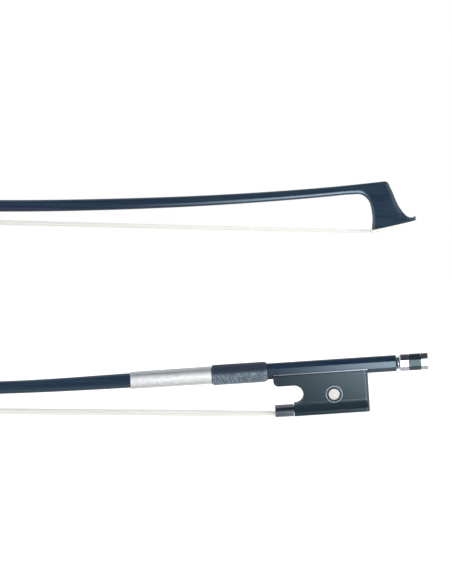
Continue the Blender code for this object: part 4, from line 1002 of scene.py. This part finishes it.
# CAD solids whose shape is right: a copy gets its edges broken and its round faces shaded smooth.
# Each has its piece's name, slot, body, edge in mm and the angle up to which it is smooth
refined = {
    "frog_body": ("frogBlock", "ebony", "frog", 0.15, 45),
    "underslide": ("underslideLiner", "nickel_silver", "frog", 0.2, 45),
    "ferrule": ("ferruleRing", "nickel_silver", "frog", 0.10, 45),
    "pearl_slide": ("pearlSlide", "pearl", "frog", 0.06, 45),
    "eye_ring_near": ("eyeRingNear", "nickel_silver", "frog", 0.08, 45),
    "eye_ring_far": ("eyeRingFar", "nickel_silver", "frog", 0.08, 45),
    "eye_pearl_near": ("eyePearlNear", "pearl", "frog", 0.06, 40),
    "eye_pearl_far": ("eyePearlFar", "pearl", "frog", 0.06, 40),
    "button_collar": ("buttonCollar", "nickel_silver", "screw", 0.05, 50),
    "button_ring_front": ("buttonRingFront", "nickel_silver", "screw", 0.05, 45),
    "button_ring_rear": ("buttonRingRear", "nickel_silver", "screw", 0.05, 45),
    "button_core": ("buttonCore", "ebony", "screw", 0.05, 45),
}

# Growth in mm at the front and the rear, so that the button's pieces meet all but a hair
snug = {"button_collar": (0.2, 0.1), "button_ring_front": (0.1, 0.12), "button_core": (0.12, 0.12),
        "button_ring_rear": (0.12, 0)}
# Nickel silver that sits in the frog: painted darker there as shade, and a little rougher
shadedInFrog = dict.fromkeys(("ferrule", "underslide", "eye_ring_near", "eye_ring_far"), "nickel_silver_shaded")
weld = {"ends": 0.02 * mm, "join": 0.001 * mm, "flatter": math.radians(0.4)}


def refine(node, name, slot, body, bevel, smooth):
    piece = inScene(name, frame["nodes"][node].data.copy())
    front, rear = handleSpan(node)
    along = handleMatrix.to_3x3() @ Vector((1, 0, 0))
    before, after = snug.get(node, (0, 0))
    for v in piece.data.vertices:
        u = (toHandle @ v.co).x
        if u < front + weld["ends"]:
            v.co -= along * before * mm
        elif u > rear - weld["ends"]:
            v.co += along * after * mm
    bm = bmesh.new()
    bm.from_mesh(piece.data)
    bmesh.ops.remove_doubles(bm, verts=bm.verts, dist=weld["join"])
    bmesh.ops.dissolve_limit(bm, angle_limit=weld["flatter"], verts=bm.verts, edges=bm.edges)
    bm.to_mesh(piece.data)
    bm.free()
    roundEdges(piece, bevel * mm)
    bakeModifiers(piece)
    return dress(piece, slot, body, [node], smooth, shadedInFrog.get(node))


for node, (name, slot, body, bevel, smooth) in refined.items():
    refine(node, name, slot, body, bevel, smooth)

# Pieces inside keep their CAD solids, in their own finish
slotOf = {row["node"]: row["material_slot"] for row in frame["record"]["subparts"]}
for node, solid in frame["nodes"].items():
    if not solid.hide_render:
        solid.data.materials.clear()
        solid.data.materials.append(looks[slotOf[node]])

print("light and floor")

# Directions are told apart by their share along the bow.
# The middle is seen in the long faces, the sides in the ends
studio = {
    "brightest": 2.0,
    # the middle, by angle in degrees from straight in front, up over the bow and round behind it
    "middle": [(-180, "#ffffff", 0.3), (-150, "#ffffff", 0.6), (-120, "#fdfcff", 1.2), (-100, "#fdfcff", 1.2),
               (-85, "#fbfbff", 0.9), (-58, "#f6f9ff", 1.0), (-40, "#f0f6ff", 0.7), (-22, "#e6f0ff", 0.35),
               (0, "#dcebff", 0.3), (25, "#dcebff", 0.3), (48, "#dfe9fa", 0.4), (64, "#dfe9fa", 0.4),
               (78, "#dfe9fa", 0.06), (90, "#dfe9fa", 0.08), (104, "#e8eefa", 0.7), (140, "#f4f7ff", 0.75),
               (165, "#ffffff", 0.35), (180, "#ffffff", 0.3)],
    # the two sides, by height from straight down (-1) to straight up (1)
    "sides": [(-1.0, "#fbfaf4", 1.25), (-0.66, "#fbfaf4", 1.35), (-0.56, "#ffffff", 1.9),
              (0.5, "#ffffff", 1.9), (0.6, "#e8eefa", 0.5), (1.0, "#e0e8f6", 0.42)],
    # what matt surfaces get: even light from all round, a little more from above
    "even": [(-1.0, "#fdfcf8", 0.95), (0.0, "#ffffff", 1.1), (0.4, "#ffffff", 1.25), (1.0, "#f8fbff", 1.25)],
    "sideFrom": 0.36,
    "sideTo": 0.56,
}


def levelStops(rows, low, high):
    # a ramp's stops from rows of place, tint and level, as shares of the range and of the brightest
    stops = []
    for place, tint, level in rows:
        colour = [c * level / studio["brightest"] for c in linear(tint)[:3]]
        stops.append(((place - low) / (high - low), colour + [1.0]))
    return stops


def makeStudio():
    world = bpy.data.worlds.new("paleStudio")
    bpy.context.scene.world = world
    tree = emptyTree(world)
    toward = addNode(tree, "ShaderNodeTexCoord").outputs["Generated"]
    split = addNode(tree, "ShaderNodeSeparateXYZ", links={0: toward}).outputs
    front = addNode(tree, "ShaderNodeMath", {"operation": "MULTIPLY"}, {0: split[1], 1: -1.0})
    turn = addNode(tree, "ShaderNodeMath", {"operation": "ARCTAN2"}, {0: split[2], 1: front})
    around = addNode(tree, "ShaderNodeMapRange", {"From Min": -math.pi, "From Max": math.pi}, {"Value": turn})
    height = addNode(tree, "ShaderNodeMapRange", {"From Min": -1.0, "From Max": 1.0}, {"Value": split[2]})
    ramps = []
    for name, fac, edge in (("middle", around, 180), ("sides", height, 1), ("even", height, 1)):
        stops = levelStops(studio[name], -edge, edge)
        ramps.append(addNode(tree, "ShaderNodeValToRGB", {"stops": stops}, {"Fac": fac}))
    middle, sides, even = ramps
    aside = addNode(tree, "ShaderNodeMath", {"operation": "ABSOLUTE"}, {0: split[0]})
    share = addNode(tree, "ShaderNodeMapRange", {
        "interpolation_type": "SMOOTHSTEP", "From Min": studio["sideFrom"], "From Max": studio["sideTo"],
    }, {"Value": aside})
    both = addNode(tree, "ShaderNodeMix", {"data_type": "RGBA"}, {0: share, 6: middle, 7: sides}).outputs[2]
    room = addNode(tree, "ShaderNodeBackground", {"Strength": studio["brightest"]}, {"Color": both})
    plain = addNode(tree, "ShaderNodeBackground", {"Strength": studio["brightest"]}, {"Color": even})
    white = addNode(tree, "ShaderNodeBackground", {"Color": (1, 1, 1, 1), "Strength": 1.0})
    # the graded room is for shine only: matt surfaces get the even light, and the camera sees white
    rays = addNode(tree, "ShaderNodeLightPath").outputs
    lit = addNode(tree, "ShaderNodeMixShader", links={
        0: rays["Is Diffuse Ray"], 1: room, 2: plain,
    })
    through = addNode(tree, "ShaderNodeMath", {"operation": "MAXIMUM"}, {
        0: rays["Is Camera Ray"], 1: rays["Is Transmission Ray"],
    })
    shown = addNode(tree, "ShaderNodeMixShader", links={
        0: through, 1: lit, 2: white,
    })
    addNode(tree, "ShaderNodeOutputWorld", links={"Surface": shown})


def lightCard(name, place, card):
    # a graded light card that only shows as a soft shine: stronger to one end, fading at its long edges
    material = bpy.data.materials.new(name)
    tree = emptyTree(material)
    where = addNode(tree, "ShaderNodeTexCoord").outputs["Object"]
    split = addNode(tree, "ShaderNodeSeparateXYZ", links={0: where}).outputs
    x, y = card["length"] / 2, card["height"] / 2
    fades = []
    for value, edge, full in (
        (split[0], -x, card["riseLength"] - x),
        (split[0], x, x - card["endFade"]),
        (split[1], -y, card["lowFade"] - y),
        (split[1], y, y - card["highFade"]),
    ):
        fade = addNode(tree, "ShaderNodeMapRange", {
            "interpolation_type": "SMOOTHSTEP", "From Min": edge, "From Max": full,
        }, {"Value": value})
        fades.append(fade)
    level = addNode(tree, "ShaderNodeMath", {"operation": "POWER"}, {0: fades[0], 1: card["rise"]})
    for factor in (*fades[1:], card["level"]):
        level = addNode(tree, "ShaderNodeMath", {"operation": "MULTIPLY"}, {0: level, 1: factor})
    glow = addNode(tree, "ShaderNodeEmission", {"Color": linear(card["tint"])}, {"Strength": level})
    addNode(tree, "ShaderNodeOutputMaterial", links={"Surface": glow})
    piece = newPiece(name, [(-x, -y, 0), (x, -y, 0), (x, y, 0), (-x, y, 0)], [(0, 1, 2, 3)])
    piece.data.materials.append(material)
    piece.matrix_world = place
    for ray in ("camera", "diffuse", "transmission", "shadow"):
        setattr(piece, "visible_" + ray, False)


floorSizes = {"side": 0.9, "front": 0.6, "back": 0.5, "glow": 0.96, "paper": 0.25}


def makeFloor():
    # a backlit white table: it glows by itself and keeps a faint shadow of the bow
    material = bpy.data.materials.new("whiteTable")
    tree = emptyTree(material)
    glow = addNode(tree, "ShaderNodeEmission", {"Color": (1, 1, 1, 1), "Strength": floorSizes["glow"]})
    grey = floorSizes["paper"]
    paper = addNode(tree, "ShaderNodeBsdfDiffuse", {"Color": (grey, grey, grey, 1)})
    both = addNode(tree, "ShaderNodeAddShader", links={0: glow, 1: paper})
    addNode(tree, "ShaderNodeOutputMaterial", links={"Surface": both})
    side, front, back, z = floorSizes["side"], floorSizes["front"], floorSizes["back"], cadLow.z
    corners = [(-side, -front, z), (side, -front, z), (side, back, z), (-side, back, z)]
    floor = newPiece("floorTable", corners, [(0, 1, 2, 3)])
    floor.data.materials.append(material)
    # only the camera sees it, and the studio's light comes past it from below
    for ray in ("diffuse", "glossy", "transmission", "shadow"):
        setattr(floor, "visible_" + ray, False)


makeStudio()
makeFloor()

print("camera")

# The photograph holds two strips: the frog end below, and the head end above, seen from its other side
photo = {
    "size": (452, 584),
    "scale": 2060.0,  # pixels for a metre of bow
    "above": math.radians(8.0),
    "lean": math.radians(0.45),  # the hair runs down to the right
    "eyePixel": (334.2, 394.3),
    "headLean": math.radians(1.36),
    "tipPixel": (416.6, 216.2),
    "lens": 660.0,
    "sensor": 36.0,
    "push": 4.85,
}


def cameraAxes(lean):
    above = photo["above"]
    back = Vector((0, -math.cos(above), math.sin(above)))
    level, rise = Vector((1, 0, 0)), Vector((0, math.sin(above), math.cos(above)))
    right = level * math.cos(lean) + rise * math.sin(lean)
    return right, back.cross(right), back


def onPhoto(pixel):
    # from the middle of the picture to a pixel, in metres at the bow
    width, height = photo["size"]
    return (pixel[0] - width / 2) / photo["scale"], (height / 2 - pixel[1]) / photo["scale"]


def makeCamera():
    right, up, back = cameraAxes(photo["lean"])
    low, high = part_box("eye_ring_near")
    eye = Vector(((low.x + high.x) / 2, low.y, (low.z + high.z) / 2))
    a, b = onPhoto(photo["eyePixel"])
    aim = eye - right * a - up * b
    data = bpy.data.cameras.new("photoCamera")
    data.lens = photo["lens"]
    data.sensor_width = photo["sensor"]
    data.clip_end = 60
    distance = photo["size"][1] * photo["lens"] / photo["sensor"] / photo["scale"]
    camera = inScene("photoCamera", data)
    turn = Matrix((right, up, back)).transposed().to_4x4()
    camera.matrix_world = Matrix.Translation(aim + back * distance) @ turn
    bpy.context.scene.camera = camera
    return camera, aim


# The card in front of the handle and frog: mirrored in their flat faces, stronger towards the button
frogCard = {"from": 0.265, "to": 0.47, "low": 9 * mm, "high": 36 * mm, "distance": 0.10, "rise": 1.5,
            "riseLength": 0.12, "endFade": 0.01, "lowFade": 18 * mm, "highFade": 7 * mm, "level": 21.0,
            "tint": "#f6fcff"}


def makeFrogCard():
    card = dict(frogCard)
    dip = photo["above"]
    along = Vector((1, 0, 0))
    away = Vector((0, -math.cos(dip), -math.sin(dip)))
    rise = Vector((0, -math.sin(dip), math.cos(dip)))
    card["length"] = card["to"] - card["from"]
    card["height"] = (card["high"] - card["low"]) * math.cos(dip)
    middle = Vector(((card["from"] + card["to"]) / 2, 0, (card["low"] + card["high"]) / 2))
    turn = Matrix((along, rise, along.cross(rise))).transposed().to_4x4()
    lightCard("frogCard", Matrix.Translation(middle + away * card["distance"]) @ turn, card)


# The card in front of the turned head end: low, and strongest beside the head
headCard = {"pixel": (235, 200), "lean": 4.2, "below": 52, "distance": 0.12, "length": 0.17, "height": 0.15,
            "rise": 1.3, "riseLength": 0.16, "endFade": 0.008, "lowFade": 0.05, "highFade": 0.05,
            "level": 14.0, "tint": "#f2f8ff"}


def showHeadEnd(camera, aim):
    # The head end is too far off for the same picture, so the photograph's upper strip is a second look
    # at it: the same meshes, turned round, set far behind the bow and larger in the same measure.
    # It is not part of the bow
    right, up, back = cameraAxes(photo["lean"])
    turned = Matrix.Rotation(math.radians(180), 4, "Z")
    lean = Matrix.Rotation(photo["lean"] - photo["headLean"], 4, back)
    tip = lean @ turned @ Vector((tipX, 0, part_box("tip_plate")[1].z))
    a, b = onPhoto(photo["tipPixel"])
    shift = aim + right * a + up * b - tip
    shift -= back * shift.dot(back)
    depth = (aim - tip).dot(back)
    place = Matrix.Translation(shift + back * depth) @ lean @ turned
    eyePoint = camera.matrix_world.translation
    push = Matrix.Translation(eyePoint) @ Matrix.Scale(photo["push"], 4) @ Matrix.Translation(-eyePoint)
    stand = inScene("headEndStand", None)
    for piece in (stickShaft, headLiner, tipPlate, hairRibbon):
        twin = inScene(piece.name + "Turned", piece.data)
        twin.parent = stand
    stand.matrix_world = push @ place
    a, b = onPhoto(headCard["pixel"])
    slant, fall = math.radians(headCard["lean"]), math.radians(headCard["below"])
    along = right * math.cos(slant) + up * math.sin(slant)
    away = (back * math.cos(fall) - up * math.sin(fall)).normalized()
    turnCard = Matrix((along, away.cross(along), away)).transposed().to_4x4()
    spot = aim + right * a + up * b + away * headCard["distance"]
    lightCard("headCard", push @ Matrix.Translation(spot) @ turnCard, headCard)


camera, aim = makeCamera()
showHeadEnd(camera, aim)
makeFrogCard()
bpy.context.scene.view_settings.view_transform = "Standard"
